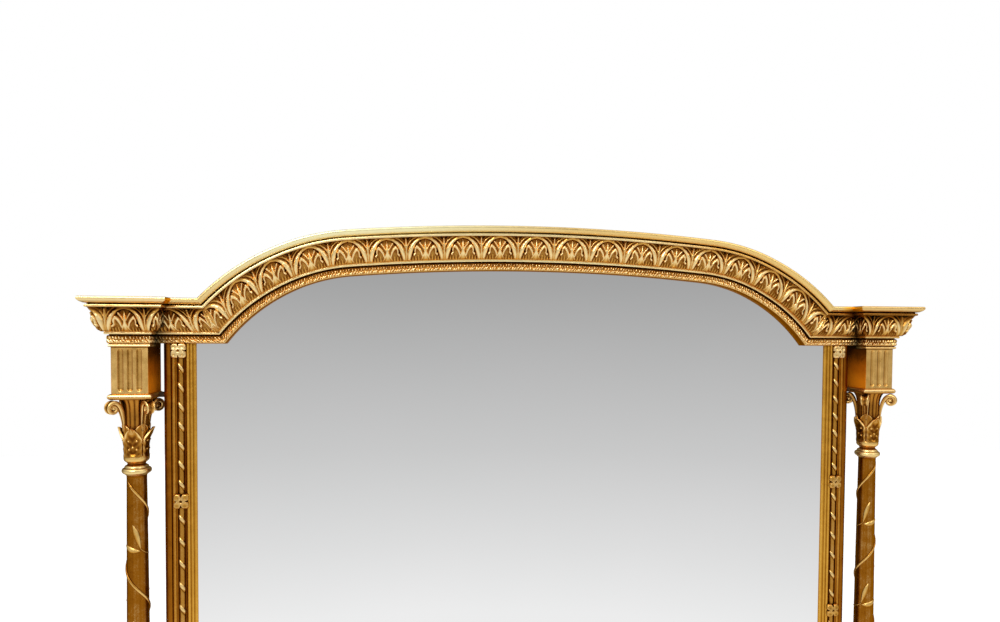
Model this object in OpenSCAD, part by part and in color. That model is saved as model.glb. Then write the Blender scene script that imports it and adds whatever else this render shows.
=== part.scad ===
// Overmantel mirror: an arched plate in a gilt frame, with a break-forward
// entablature block, a small capital and a detached column at each side.
// +Z is up, the room side is -Y and the wall side is +Y.
// The origin is on the surface that it stands on, at the middle of its width and depth.

/* [Mirror plate] */
// Visible width of the plate, between the stiles
sight_w = 1220; // [1100:10:1400]
// Height of the stiles, from the base to the springing of the arch
stile_h = 1093; // [900:1:1300]
// Rise of the plate's arched top above the stiles
arch_rise = 140; // [120:5:170]
// Radius of the flat crown of the arch
crown_r = 3740; // [3000:20:5000]
// Radius of the two shoulders of the arch
shoulder_r = 297; // [270:1:320]
// Thickness of the plate
plate_t = 5; // [3:0.5:6]
// Width of the rebate that covers the plate's edge
rebate_w = 8; // [5:1:12]
// Clearance between the plate's edge and the carcass
plate_clear = 0.5; // [0.3:0.1:2]

/* [Carcass and back] */
// Distance of the carcass's front face from the wall
carcass_front = 31.5; // [28:0.5:36]
// Thickness of the backboards
backboard_t = 8; // [6:1:10]
// Gap between two backboards
backboard_gap = 1; // [0.5:0.5:3]
// How far the backboards lap over the carcass
backboard_lap = 24; // [20:1:30]
// Length of the rails' and stiles' tenons
tenon_l = 28; // [20:1:36]
// Thickness of the tenons
tenon_t = 9; // [7:1:11]
// Clearance of a tenon, a dowel or a screw in its hole
fit_clear = 0.1; // [0.05:0.05:0.3]
// Width across a glazing block
glazing_w = 12; // [8:1:16]
// Length of a glazing block
glazing_l = 45; // [30:5:60]
// Diameter of a backboard screw's shank
screw_d = 3.5; // [3:0.5:5]
// Diameter of a backboard screw's head
screw_head_d = 7; // [6:0.5:9]
// Length of a backboard screw
screw_l = 20; // [16:1:26]

/* [Cornice] */
// Width of the small-leaf band beside the plate
band_w = 14.5; // [12:0.5:18]
// Height of the fillet under the carved frieze
fillet_h = 4.5; // [3:0.5:6]
// Height of the carved cyma frieze
cyma_h = 41; // [36:1:48]
// Height of the plain fascia at the top
fascia_h = 12.5; // [10:0.5:16]
// How far the band stands proud of the frame's face
band_proj = 5; // [3:0.5:6]
// How far the lower fillet stands proud of the frame's face
fillet_proj = 8; // [7:0.5:10]
// How far the belly of the cyma stands proud of the frame's face
belly_proj = 22.5; // [19:0.5:26]
// How far the upper edge of the cyma stands proud of the frame's face
lip_proj = 30.5; // [28:0.5:34]
// How far the fascia stands proud of the frame's face
fascia_proj = 39; // [37:0.5:44]
// Distance of the frame's face from the wall, under the main cornice
main_face = 40; // [38:0.5:46]
// Distance of the blocks' faces from the wall
block_face = 70; // [66:1:80]

/* [Stiles] */
// Width of a stile, from the plate to its outer edge
stile_w = 55; // [50:1:62]
// Width of the stepped moulding beside the plate
sight_mould_w = 17; // [14:0.5:20]
// Diameter of the stick that carries the ribbon
stick_d = 10.5; // [9:0.5:12]
// Width of the channel that the stick lies in
channel_w = 13; // [12.5:0.5:15]
// Length of one turn of the ribbon
ribbon_pitch = 37; // [30:1:44]
// Side of a square rosette
rosette_w = 25; // [22:0.5:28]
// Distance from one rosette to the next, before they are spaced out evenly
rosette_pitch = 267; // [240:1:300]

/* [Columns] */
// Open gap between a stile and the block beside it
column_gap = 14; // [10:1:24]
// Width of a fluted block
block_w = 60; // [54:1:70]
// Height of a fluted block
block_h = 80; // [70:1:95]
// Width of a flute
flute_w = 6; // [4:0.5:8]
// Number of flutes
flute_n = 3; // [2:1:3]
// Height of the abacus
abacus_h = 10.5; // [8:0.5:14]
// How far the abacus overhangs the block
abacus_lap = 3.6; // [2:0.2:6]
// Height of the capital, from the neck of the column to the abacus
capital_h = 114.5; // [105:0.5:130]
// Radius of the capital's bell under the volutes
bell_r = 24; // [21:0.5:26]
// Radius of the bell inside the collar of leaves
bell_root_r = 18; // [16:0.5:19]
// Distance of a volute's eye from the column's axis
volute_reach = 39.5; // [36:0.5:44]
// Radius of a volute
volute_r = 10.5; // [9:0.5:12]
// Width of a volute's strap
volute_w = 9; // [7:0.5:11]
// Number of leaves round the capital
leaf_n = 6; // [5:1:8]
// Radius of the column just under the ring
shaft_top_r = 17; // [15:0.5:19]
// Radius of the column just above its base
shaft_foot_r = 20.5; // [19:0.5:24]
// Radius of the ring round the top of the column
ring_r = 24; // [21:0.5:28]
// Height of the ring
ring_h = 17; // [14:0.5:20]
// Length of one turn of the vine
vine_pitch = 168; // [140:4:200]
// Thickness of the vine's stem
vine_d = 4.4; // [3.6:0.2:6]
// Diameter of the hidden dowels
dowel_d = 12; // [10:1:14]
// Length of a dowel on each side of a joint
dowel_l = 24; // [18:1:30]

/* [Base] */
// Height of the base
base_h = 90; // [75:1:120]
// Height of the moulding along the top of the base
base_cap_h = 20; // [16:1:26]
// Height of the step along the foot of the base
base_foot_h = 24; // [18:1:30]
// Distance of the base board's face from the wall
base_face = 44; // [42:0.5:50]
// Height of a column's own moulded base
column_base_h = 50; // [44:1:60]

/* [Hidden] */

gilt = "goldenrod";
old_gilt = "darkgoldenrod";
pine = "burlywood";

// Depths are measured forward from the wall plane; this turns one into a Y
block_depth = block_face + fascia_proj;
function y_at(depth) = block_depth / 2 - depth;

// Heights
spring_z = base_h + stile_h;
sight_foot_z = base_h + sight_mould_w;
frame_foot_z = sight_foot_z - rebate_w;
frieze_foot = band_w + 1.5;
cyma_foot = frieze_foot + fillet_h;
cyma_top = cyma_foot + cyma_h;
lip_h = 2.8;
quirk_h = 2.2;
fascia_foot = cyma_top + lip_h + quirk_h;
cornice_h = fascia_foot + fascia_h;
cove_h = 6;
block_top = spring_z - cove_h;
abacus_top = block_top - block_h;
capital_top = abacus_top - abacus_h;
neck_z = capital_top - capital_h;
shaft_foot_z = base_h + column_base_h;

// Widths
half_sight = sight_w / 2;
block_in = half_sight + stile_w + column_gap;
column_x = block_in + block_w / 2;
column_depth = block_face - block_w / 2 - 1;
overlap = 1;
big = 3 * (sight_w + stile_h);

// The arch: a crown arc between two shoulder arcs, tangent where they meet
shoulder_x = half_sight - shoulder_r;
crown_z = arch_rise - crown_r;
shoulder_z = crown_z + sqrt(pow(crown_r - shoulder_r, 2) - pow(shoulder_x, 2));
crown_half = asin(shoulder_x / (crown_r - shoulder_r));
// X at which a shoulder, moved out by o, meets the level line moved up by o
function corner_x(o) = shoulder_x + sqrt(pow(shoulder_r + o, 2) - pow(o - shoulder_z, 2));
mitre_a = atan2(cornice_h, corner_x(cornice_h) - corner_x(0));

// Points of the arch, moved out by o, from the right-hand corner to the left-hand one
arc_step = 5;
function arc_pts(cx, cz, r, a0, a1, n) =
    [for (i = [0:n]) let (a = a0 + (a1 - a0) * i / n) [cx + r * cos(a), cz + r * sin(a)]];
function corner_a(o) = atan2(o - shoulder_z, corner_x(o) - shoulder_x);
function arch_half(o) = concat(
    arc_pts(shoulder_x, shoulder_z, shoulder_r + o, corner_a(o), 90 - crown_half - arc_step, 9),
    arc_pts(0, crown_z, crown_r + o, 90 - crown_half, 90, 5));
function flip(pts) = [for (i = [len(pts) - 1:-1:0]) [-pts[i][0], pts[i][1]]];
function arch_pts(o) = concat(arch_half(o), flip(arch_half(o)));

// ---- Profiles: [distance out from the plate's edge, distance proud of the face] ----

quarter = 6;
belly_z = cyma_foot + cyma_h * 0.55;
function cyma_pts() = concat(
    [for (i = [0:quarter]) let (a = 90 * i / quarter)
        [belly_z - (belly_z - cyma_foot) * cos(a),
         fillet_proj + 1 + (belly_proj - fillet_proj - 1) * sin(a)]],
    [for (i = [1:quarter]) let (a = 90 * i / quarter)
        [belly_z + (cyma_top - belly_z) * sin(a), lip_proj - (lip_proj - belly_proj) * cos(a)]]);
band_pts = [[0, band_proj - 2.5], [1.5, band_proj - 0.8], [4, band_proj],
    [band_w - 3.5, band_proj], [band_w - 1, band_proj - 0.8], [band_w, band_proj - 2.2]];
frieze_pts = concat([[band_w, band_proj - 3], [frieze_foot, band_proj - 3],
    [frieze_foot, fillet_proj], [cyma_foot, fillet_proj]], cyma_pts(),
    [[cyma_top, lip_proj + 0.8], [cyma_top + lip_h, lip_proj + 0.8],
    [cyma_top + lip_h, lip_proj - 2], [fascia_foot, lip_proj - 2]]);
fascia_pts = [[fascia_foot, fascia_proj - 4], [fascia_foot + 1.2, fascia_proj - 1.4],
    [fascia_foot + 3.2, fascia_proj], [cornice_h - 1.5, fascia_proj], [cornice_h, fascia_proj - 1.5]];
// The cove under the block's band, down to the top of the fluted block
cove_pts = [[-cove_h, 0], [-cove_h + 1, 1], [-2.5, 2.2], [-1, band_proj - 1]];
block_pts = concat(cove_pts, band_pts, frieze_pts, fascia_pts);

// A moulding's closed section: its face, with a flat back at a depth
module section(pts, face, back) {
    first = pts[0][0];
    last = pts[len(pts) - 1][0];
    polygon(concat([[first, back]], [for (p = pts) [p[0], face + p[1]]], [[last, back]]));
}

// A section carried along the arch: o points outward and the face forward
module along_arc(cx, cz, r, a0, a1) {
    translate([cx, y_at(0), spring_z + cz])
        rotate([90, 0, 0]) rotate([0, 0, a0])
            rotate_extrude(angle = a1 - a0, $fn = 180) translate([r, 0]) children();
}

// A section carried along X: o points up and the face forward
module along_x(x0, x1, z) {
    translate([x0, y_at(0), z]) rotate(a = 180, v = [1, 0, 1]) linear_extrude(x1 - x0) children();
}

// The outer side of the mitre between a shoulder and the level return, moved out by lap
module past_mitre(lap) {
    translate([corner_x(0) + lap, 0, spring_z]) rotate([0, -mitre_a, 0])
        translate([-big, -big, -2 * big]) cube(2 * big);
}

module before_mitre(lap) {
    translate([corner_x(0) - lap, 0, spring_z]) rotate([0, -mitre_a, 0])
        translate([-big, -big, 0]) cube(2 * big);
}

// Right-hand pieces are drawn, and left-hand ones are their mirror images
module side(s) {
    if (s > 0) children();
    else mirror([1, 0, 0]) children();
}

module crown_run() {
    along_arc(0, crown_z, crown_r, 90 - crown_half, 90 + crown_half) children();
}

// A shoulder starts below the corner and is cut off at the mitre
shoulder_start = 15;
module shoulder_run(lap = 0) {
    difference() {
        along_arc(shoulder_x, shoulder_z, shoulder_r, shoulder_start, 90 - crown_half) children();
        past_mitre(lap);
    }
}

module return_run(lap = 0) {
    difference() {
        along_x(corner_x(0) - rebate_w, block_in, spring_z) children();
        before_mitre(lap);
    }
}

module band_section() section(band_pts, main_face, carcass_front);
module frieze_section() section(frieze_pts, main_face, carcass_front);
module fascia_section() section(fascia_pts, main_face, backboard_t);

// ---- Plate, carcass and back ----

module slab(depth, t) {
    translate([0, y_at(depth), 0]) rotate([90, 0, 0]) linear_extrude(t) children();
}

// The outline of the opening, grown by o on every side
module opening_outline(o) {
    w = half_sight + o;
    foot = sight_foot_z - spring_z - o;
    translate([0, spring_z])
        polygon(concat([[w, foot], [w, o]], arch_pts(o), [[-w, o], [-w, foot]]));
}

module mirror_glass() color("lightsteelblue") {
    slab(carcass_front - plate_t, plate_t) opening_outline(rebate_w - plate_clear);
}

board_in = half_sight / 3;
board_out = half_sight + rebate_w + backboard_lap;
screw_edge = half_sight + rebate_w + backboard_lap / 2;
screw_rows = 4;
// Screw places, on the right-hand half and on the middle line, as [x, z]
side_screws = [for (i = [0:screw_rows - 1])
    [screw_edge, base_h + stile_h * (i + 0.5) / screw_rows]];
foot_screws = [for (x = [board_in / 2, board_in * 1.5, board_in * 2.5])
    [x, frame_foot_z - backboard_lap / 2]];
head_screws = [for (a = [0.25, 0.75]) let (t = 90 - crown_half * a)
    [(crown_r + rebate_w + backboard_lap / 2) * cos(t),
     spring_z + crown_z + (crown_r + rebate_w + backboard_lap / 2) * sin(t)]];
shoulder_screws = [for (t = [50, 70])
    [shoulder_x + (shoulder_r + rebate_w + backboard_lap / 2) * cos(t),
     spring_z + shoulder_z + (shoulder_r + rebate_w + backboard_lap / 2) * sin(t)]];
screws = concat(side_screws, foot_screws, head_screws, shoulder_screws);

module at_screws() {
    for (s = [-1, 1]) for (p = screws)
        translate([s * p[0], y_at(0), p[1]]) rotate([90, 0, 0]) children();
}

screw_head_t = 2.5;
module screw_holes() {
    at_screws() translate([0, 0, -overlap]) {
        cylinder(d = screw_d + 2 * fit_clear, h = backboard_t + 2 * overlap, $fn = 24);
        cylinder(d = screw_head_d + 2 * fit_clear, h = screw_head_t + overlap, $fn = 24);
    }
}

module backboard(x0, x1) {
    difference() {
        intersection() {
            slab(0, backboard_t) opening_outline(rebate_w + backboard_lap);
            translate([x0, -block_depth, 0]) cube([x1 - x0, 2 * block_depth, spring_z + crown_r]);
        }
        screw_holes();
    }
}

module backboard_left() color(pine) backboard(-board_out, -board_in - backboard_gap / 2);
module backboard_middle() color(pine) backboard(-board_in + backboard_gap / 2, board_in - backboard_gap / 2);
module backboard_right() color(pine) backboard(board_in + backboard_gap / 2, board_out);

stile_lap = 5;
carcass_out = half_sight + stile_w - stile_lap;
carcass_t = carcass_front - backboard_t;
rail_foot = spring_z + rebate_w;
tenon_back = backboard_t + (carcass_t - tenon_t) / 2;

// A tenon or, grown by the clearance, its mortise: x0 to x1 and z0 to z1
module tenon(x0, x1, z0, z1, grow) {
    translate([x0 - grow, y_at(tenon_back + tenon_t + grow), z0 - grow])
        cube([x1 - x0 + 2 * grow, tenon_t + 2 * grow, z1 - z0 + 2 * grow]);
}

// The wood left beside a tenon
tenon_shoulder = 7;
stile_tenon_in = half_sight + rebate_w + tenon_shoulder;
stile_tenon_out = carcass_out - tenon_shoulder;

module stile_tenons(grow) {
    tenon(stile_tenon_in, stile_tenon_out, rail_foot - overlap, rail_foot + tenon_l, grow);
    tenon(stile_tenon_in, stile_tenon_out, frame_foot_z - tenon_l, frame_foot_z + overlap, grow);
}

module head_tenon(grow) {
    tenon(block_in - overlap, block_in + tenon_l, rail_foot + tenon_shoulder,
        spring_z + fascia_foot - tenon_shoulder, grow);
}

module foot_tenon(grow) {
    tenon(block_in - overlap, block_in + tenon_l, 2 * tenon_shoulder, base_h - 2 * tenon_shoulder, grow);
}

module pilot_holes() {
    at_screws() translate([0, 0, backboard_t - overlap])
        cylinder(d = screw_d + 2 * fit_clear, h = screw_l - backboard_t + overlap + 1, $fn = 24);
}

module carcass_top_rail() color(pine) {
    w = block_in;
    outer = arch_pts(fascia_foot);
    inner = arch_pts(rebate_w);
    difference() {
        union() {
            slab(backboard_t, carcass_t) translate([0, spring_z])
                polygon(concat([[w, rebate_w], [w, fascia_foot]], outer, [[-w, fascia_foot], [-w, rebate_w]],
                    [for (i = [len(inner) - 1:-1:0]) inner[i]]));
            for (s = [-1, 1]) side(s) head_tenon(0);
        }
        for (s = [-1, 1]) side(s) stile_tenons(fit_clear);
        pilot_holes();
    }
}

module carcass_bottom_rail() color(pine) {
    half = [[block_in, 0], [block_in, base_h], [carcass_out, base_h], [carcass_out, frame_foot_z]];
    difference() {
        union() {
            slab(backboard_t, carcass_t) polygon(concat(half, flip(half)));
            for (s = [-1, 1]) side(s) foot_tenon(0);
        }
        for (s = [-1, 1]) side(s) stile_tenons(fit_clear);
        pilot_holes();
    }
}

module carcass_stile() {
    difference() {
        union() {
            translate([half_sight + rebate_w, y_at(carcass_front), frame_foot_z])
                cube([carcass_out - half_sight - rebate_w, carcass_t, rail_foot - frame_foot_z]);
            stile_tenons(0);
        }
        pilot_holes();
    }
}

module carcass_stile_left() color(pine) side(-1) carcass_stile();
module carcass_stile_right() color(pine) side(1) carcass_stile();

// Wedge-shaped blocks, glued to the rebate behind the plate
glazing_t = carcass_front - plate_t - backboard_t;
side_blocks = 4;
foot_blocks = 5;
head_blocks = 3;
module glazing_block() {
    rotate([90, 0, 90]) linear_extrude(glazing_l, center = true)
        polygon([[0, 0], [glazing_t, 0], [glazing_t, -glazing_w / 2], [0, -glazing_w]]);
}

module glazing_blocks() color(pine) {
    y = y_at(carcass_front - plate_t);
    for (s = [-1, 1]) side(s) for (i = [0:side_blocks - 1])
        translate([half_sight + rebate_w, y, base_h + stile_h * (i + 0.6) / side_blocks])
            rotate([0, 90, 0]) glazing_block();
    for (i = [1:foot_blocks])
        translate([sight_w * (i / (foot_blocks + 1) - 0.5), y, frame_foot_z])
            mirror([0, 0, 1]) glazing_block();
    for (i = [1:head_blocks])
        translate([0, y, spring_z + crown_z]) rotate([0, crown_half * (4 * i / (head_blocks + 1) - 2) / 2, 0])
            translate([0, 0, crown_r + rebate_w - fit_clear]) glazing_block();
}

module backboard_screws() color("dimgray") {
    at_screws() {
        cylinder(d = screw_head_d, h = screw_head_t, $fn = 24);
        cylinder(d = screw_d, h = screw_l, $fn = 24);
    }
}

// ---- Mouldings on the stiles ----

// A vertical run on the right-hand stile: [distance out from the plate, depth]
module along_stile(pts, z0, z1) {
    translate([half_sight, y_at(0), z0]) linear_extrude(z1 - z0)
        polygon([for (p = pts) [p[0], -p[1]]]);
}

c0 = carcass_front;
sight_top = c0 + 10;
sight_pts = [[0, c0], [0, c0 + 3], [1.2, c0 + 4.4], [4.6, c0 + 5], [5.2, c0 + 5.4], [6, c0 + 6.8],
    [9.4, c0 + 7.4], [10, c0 + 7.8], [11, c0 + 9.4], [sight_mould_w - 3, sight_top],
    [sight_mould_w - 1.6, sight_top - 1], [sight_mould_w - 1, c0 + 5], [sight_mould_w, c0 + 4.5],
    [sight_mould_w, c0]];

module sight_stile() {
    difference() {
        along_stile(sight_pts, base_h, spring_z);
        foot_mitre();
    }
}

// Cuts the mitre between the stile's sight moulding and the one along the base
module foot_mitre() {
    translate([half_sight, 0, sight_foot_z]) rotate([0, 45, 0])
        translate([-big, -big, -2 * big]) cube(2 * big);
}

module sight_moulding_left() color(gilt) side(-1) sight_stile();
module sight_moulding_right() color(gilt) side(1) sight_stile();

module sight_moulding_bottom() color(gilt) {
    difference() {
        along_x(-half_sight - sight_mould_w, half_sight + sight_mould_w, sight_foot_z)
            mirror([1, 0]) polygon(sight_pts);
        for (s = [-1, 1]) side(s) translate([half_sight, 0, sight_foot_z]) rotate([0, 45, 0])
            translate([-big, -big, 0]) cube(2 * big);
    }
}

channel_in = sight_mould_w;
channel_out = channel_in + 1.5 + channel_w;
channel_floor = c0 + 4.5;
bead_c = channel_out + 5.5;
bead_r = 3.2;
stile_pts = concat([[channel_in, c0], [channel_in, channel_floor], [channel_out, channel_floor],
    [channel_out, c0 + 8], [bead_c - bead_r, c0 + 8]],
    [for (i = [1:5]) let (a = 180 - 30 * i) [bead_c + bead_r * cos(a), c0 + 8 + bead_r * sin(a)]],
    [[bead_c + bead_r, c0 + 8], [bead_c + bead_r, c0 + 5.5], [bead_c + bead_r + 1, c0 + 5.5],
    [bead_c + bead_r + 1.6, c0 + 7.5], [stile_w - stile_lap - 0.5, c0 + 7.5],
    [stile_w - stile_lap, c0 + 3], [stile_w, c0 + 1.5], [stile_w, c0 - 4],
    [stile_w - stile_lap, c0 - 4], [stile_w - stile_lap, c0]]);

module stile_moulding_left() color(old_gilt) side(-1) along_stile(stile_pts, base_h, spring_z);
module stile_moulding_right() color(old_gilt) side(1) along_stile(stile_pts, base_h, spring_z);

// The first and the last rosette lie against the ends of the stile
rosette_n = round((stile_h - rosette_w) / rosette_pitch) + 1;
rosette_step = (stile_h - rosette_w) / (rosette_n - 1);
stick_x = half_sight + channel_in + 1.5 + channel_w / 2;
function rosette_z(k) = spring_z - rosette_w / 2 - k * rosette_step;

// The stick lies in the channel between two rosettes, cut flat where it is bedded
module stick(z0, z1) {
    difference() {
        translate([stick_x, y_at(channel_floor), z0]) cylinder(d = stick_d, h = z1 - z0, $fn = 48);
        translate([stick_x - big / 2, y_at(channel_floor), z0 - overlap]) cube([big, big, z1 - z0 + 2 * overlap]);
    }
}

// One visible turn of the ribbon: a leaf-shaped slip that lies slantwise over the stick
ribbon_l = 23;
ribbon_t = 1.3;
module ribbon_turn() {
    r = pow(ribbon_l, 2) / 20 + 1.2;
    intersection() {
        rotate([90, 0, 0]) intersection() {
            translate([r - 2.6, 0, 0]) cylinder(r = r, h = stick_d, $fn = 60);
            translate([-r + 2.6, 0, 0]) cylinder(r = r, h = stick_d, $fn = 60);
        }
        rotate([0, -ribbon_slant, 0]) difference() {
            translate([0, 0, -ribbon_l]) cylinder(d = stick_d + 2 * ribbon_t, h = 2 * ribbon_l, $fn = 48);
            translate([0, 0, -ribbon_l - overlap])
                cylinder(d = stick_d + 0.1, h = 2 * (ribbon_l + overlap), $fn = 48);
        }
    }
}

// The slant is the same way on both stiles, from upper left to lower right
ribbon_slant = -32;
module ribbon_twist(s) {
    for (k = [0:rosette_n - 2]) {
        z1 = rosette_z(k) - rosette_w / 2;
        z0 = rosette_z(k + 1) + rosette_w / 2;
        turns = round((z1 - z0) / ribbon_pitch);
        side(s) stick(z0, z1);
        for (i = [0:turns - 1])
            translate([s * stick_x, y_at(channel_floor), z1 - (z1 - z0) * (i + 0.5) / turns])
                rotate([0, ribbon_slant, 0]) ribbon_turn();
    }
}

module ribbon_twist_left() color(gilt) ribbon_twist(-1);
module ribbon_twist_right() color(gilt) ribbon_twist(1);

// A square rosette: four round petals about a raised eye, on a thin pad
petal_r = rosette_w / 4 + 0.3;
rosette_back = c0 + 8 + bead_r + 0.1;
module rosette() {
    translate([-rosette_w / 2 + 1, 0, -rosette_w / 2 + 1]) rotate([90, 0, 0])
        linear_extrude(2) square(rosette_w - 2);
    translate([0, -1, 0]) for (sx = [-1, 1]) for (sz = [-1, 1])
        translate([sx * (rosette_w / 2 - petal_r), 0, sz * (rosette_w / 2 - petal_r)])
            rotate([90, 0, 0]) intersection() {
                cylinder(r = petal_r, h = 5, $fn = 40);
                translate([0, 0, -petal_r]) sphere(r = petal_r * 1.6, $fn = 40);
            }
    translate([0, -3, 0]) sphere(r = 4, $fn = 32);
}

module rosettes(s) {
    side(s) for (k = [0:rosette_n - 1])
        translate([stick_x, y_at(rosette_back), rosette_z(k)]) rosette();
}

module rosettes_left() color(gilt) rosettes(-1);
module rosettes_right() color(gilt) rosettes(1);

// ---- Cornice ----

module band_crown() color(gilt) crown_run() band_section();
module band_shoulder_left() color(gilt) side(-1) shoulder_run() band_section();
module band_shoulder_right() color(gilt) side(1) shoulder_run() band_section();
module band_return_left() color(gilt) side(-1) return_run() band_section();
module band_return_right() color(gilt) side(1) return_run() band_section();
module frieze_crown() color(old_gilt) crown_run() frieze_section();
module frieze_shoulder_left() color(old_gilt) side(-1) shoulder_run() frieze_section();
module frieze_shoulder_right() color(old_gilt) side(1) shoulder_run() frieze_section();
module frieze_return_left() color(old_gilt) side(-1) return_run() frieze_section();
module frieze_return_right() color(old_gilt) side(1) return_run() frieze_section();
module fascia_crown() color(gilt) crown_run() fascia_section();
module fascia_shoulder_left() color(gilt) side(-1) shoulder_run() fascia_section();
module fascia_shoulder_right() color(gilt) side(1) shoulder_run() fascia_section();
module fascia_return_left() color(gilt) side(-1) return_run() fascia_section();
module fascia_return_right() color(gilt) side(1) return_run() fascia_section();

// A pointed leaf that covers the frieze's mitre. It is bent over the mitre's edge, where its
// two halves lap and make its rib.
mitre_leaf_w = 17;
mitre_leaf_t = 2.2;
mitre_leaf_rib = 0.8;
module mitre_leaf() {
    foot = [corner_x(cyma_foot), cyma_foot];
    along = [corner_x(cyma_top), cyma_top] - foot;
    across = [along[1], -along[0]] / norm(along) * mitre_leaf_w / 2;
    half = [for (i = [0:6]) foot + along * i / 6 + across * sin(30 * i)];
    other = [for (i = [5:-1:1]) foot + along * i / 6 - across * sin(30 * i)];
    intersection() {
        translate([0, 0, spring_z]) rotate([90, 0, 0])
            linear_extrude(2 * block_depth, center = true) polygon(concat(half, other));
        union() {
            shoulder_run(mitre_leaf_rib) mitre_leaf_section();
            return_run(mitre_leaf_rib) mitre_leaf_section();
        }
    }
}

// A skin over the face of the cyma
module mitre_leaf_section() {
    face = cyma_pts();
    n = len(face);
    polygon(concat([for (p = face) [p[0], main_face + p[1] + mitre_leaf_t]],
        [for (i = [n - 1:-1:0]) [face[i][0], main_face + face[i][1] + fit_clear / 2]]));
}

module mitre_leaves() color(gilt) for (s = [-1, 1]) side(s) mitre_leaf();

// ---- Blocks at the sides ----

// A block whose moulded face returns round its sides, mitred at the corners.
// pts are [height, distance proud]; x is its middle and back to face its depth.
module moulded_block(pts, x, w, back, face) {
    first = pts[0][0];
    last = pts[len(pts) - 1][0];
    side_pts = concat([[first, back]], [for (p = pts) [p[0], face + p[1]]], [[last, back]]);
    n = len(pts);
    front_pts = concat([for (p = pts) [x + w / 2 + p[1], p[0]]],
        [for (i = [n - 1:-1:0]) [x - w / 2 - pts[i][1], pts[i][0]]]);
    intersection() {
        along_x(x - 2 * w, x + 2 * w, 0) polygon(side_pts);
        translate([0, big / 2, 0]) rotate([90, 0, 0]) linear_extrude(big) polygon(front_pts);
    }
}

function raised(pts, z) = [for (p = pts) [p[0] + z, p[1]]];

module dowel_hole(z) {
    translate([column_x, y_at(column_depth), z - dowel_l - fit_clear])
        cylinder(d = dowel_d + 2 * fit_clear, h = 2 * (dowel_l + fit_clear), $fn = 40);
}

module entablature_block() {
    difference() {
        moulded_block(raised(block_pts, spring_z), column_x, block_w, 0, block_face);
        // The main cornice runs in behind the block's inner return
        along_x(block_in - 2 * fascia_proj, block_in, spring_z)
            section(concat([[-2 * cove_h, -main_face]], [[-overlap, -main_face]], band_pts, frieze_pts,
                fascia_pts, [[cornice_h + overlap, fascia_proj - 1.5]]), main_face, -overlap);
        head_tenon(fit_clear);
        dowel_hole(block_top);
    }
}

module entablature_block_left() color(gilt) side(-1) entablature_block();
module entablature_block_right() color(gilt) side(1) entablature_block();

flute_pitch = block_w / (flute_n + 1);
flute_end = 8;
module flute(x) {
    z0 = abacus_top + flute_end;
    z1 = block_top - flute_end + 2;
    translate([x, y_at(block_face), z0]) cylinder(d = flute_w, h = z1 - z0, $fn = 32);
    translate([x, y_at(block_face), z0]) sphere(d = flute_w, $fn = 32);
    translate([x, y_at(block_face), z1]) sphere(d = flute_w, $fn = 32);
}

module impost_block() {
    difference() {
        translate([block_in, y_at(block_face), abacus_top]) cube([block_w, block_face, block_h]);
        for (i = [1:flute_n]) flute(block_in + i * flute_pitch);
        dowel_hole(block_top);
        dowel_hole(abacus_top);
    }
}

module impost_block_left() color(gilt) side(-1) impost_block();
module impost_block_right() color(gilt) side(1) impost_block();

abacus_w = block_w + 2 * abacus_lap;
abacus_back = column_depth - abacus_w / 2;
abacus_nose = [for (i = [0:6]) let (a = -90 + 30 * i)
    [capital_top + abacus_h / 2 * (1 + sin(a)), abacus_h / 2 * (cos(a) - 1)]];

module abacus() {
    difference() {
        moulded_block(abacus_nose, column_x, abacus_w, abacus_back, column_depth + abacus_w / 2);
        dowel_hole(abacus_top);
    }
}

module abacus_left() color(gilt) side(-1) abacus();
module abacus_right() color(gilt) side(1) abacus();

// ---- Capital ----

module on_column() {
    translate([column_x, y_at(column_depth), 0]) children();
}

cup_h = 16;
cup_z = neck_z + cup_h;
leaf_tip_z = capital_top - capital_h * 0.44;
neck_r = shaft_top_r - 2.5;
bell_top_r = bell_r + 6;
collar_r = bell_root_r + 2.5;

// The bell: a small cup, a straight root inside the leaves, and a flaring lip
bell_pts = concat([[0, neck_z], [neck_r, neck_z], [neck_r + 0.6, neck_z + 2.5],
    [collar_r - 1, neck_z + 6], [collar_r, neck_z + 9], [collar_r, cup_z - 2], [bell_root_r, cup_z]],
    [[bell_root_r + 1.5, leaf_tip_z - 4]],
    [for (i = [0:6]) let (t = i / 6)
        [bell_root_r + 3 + (bell_top_r - bell_root_r - 3) * (t + 3 * t * t) / 4,
         leaf_tip_z + (capital_top - leaf_tip_z) * t]],
    [[0, capital_top]]);

module capital_bell() {
    difference() {
        on_column() rotate_extrude($fn = 64) polygon(bell_pts);
        dowel_hole(capital_top + abacus_h);
        dowel_hole(capital_top);
        socket(neck_z, 1);
    }
}

// The round hole that a column's own tenon enters, up or down from z
tenon_r = 7;
shaft_tenon_l = 18;
module socket(z, up) {
    on_column() translate([0, 0, up > 0 ? z - overlap : z - shaft_tenon_l - fit_clear])
        cylinder(r = tenon_r + fit_clear, h = shaft_tenon_l + fit_clear + overlap, $fn = 40);
}

module capital_bell_left() color(old_gilt) side(-1) capital_bell();
module capital_bell_right() color(old_gilt) side(1) capital_bell();

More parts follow.
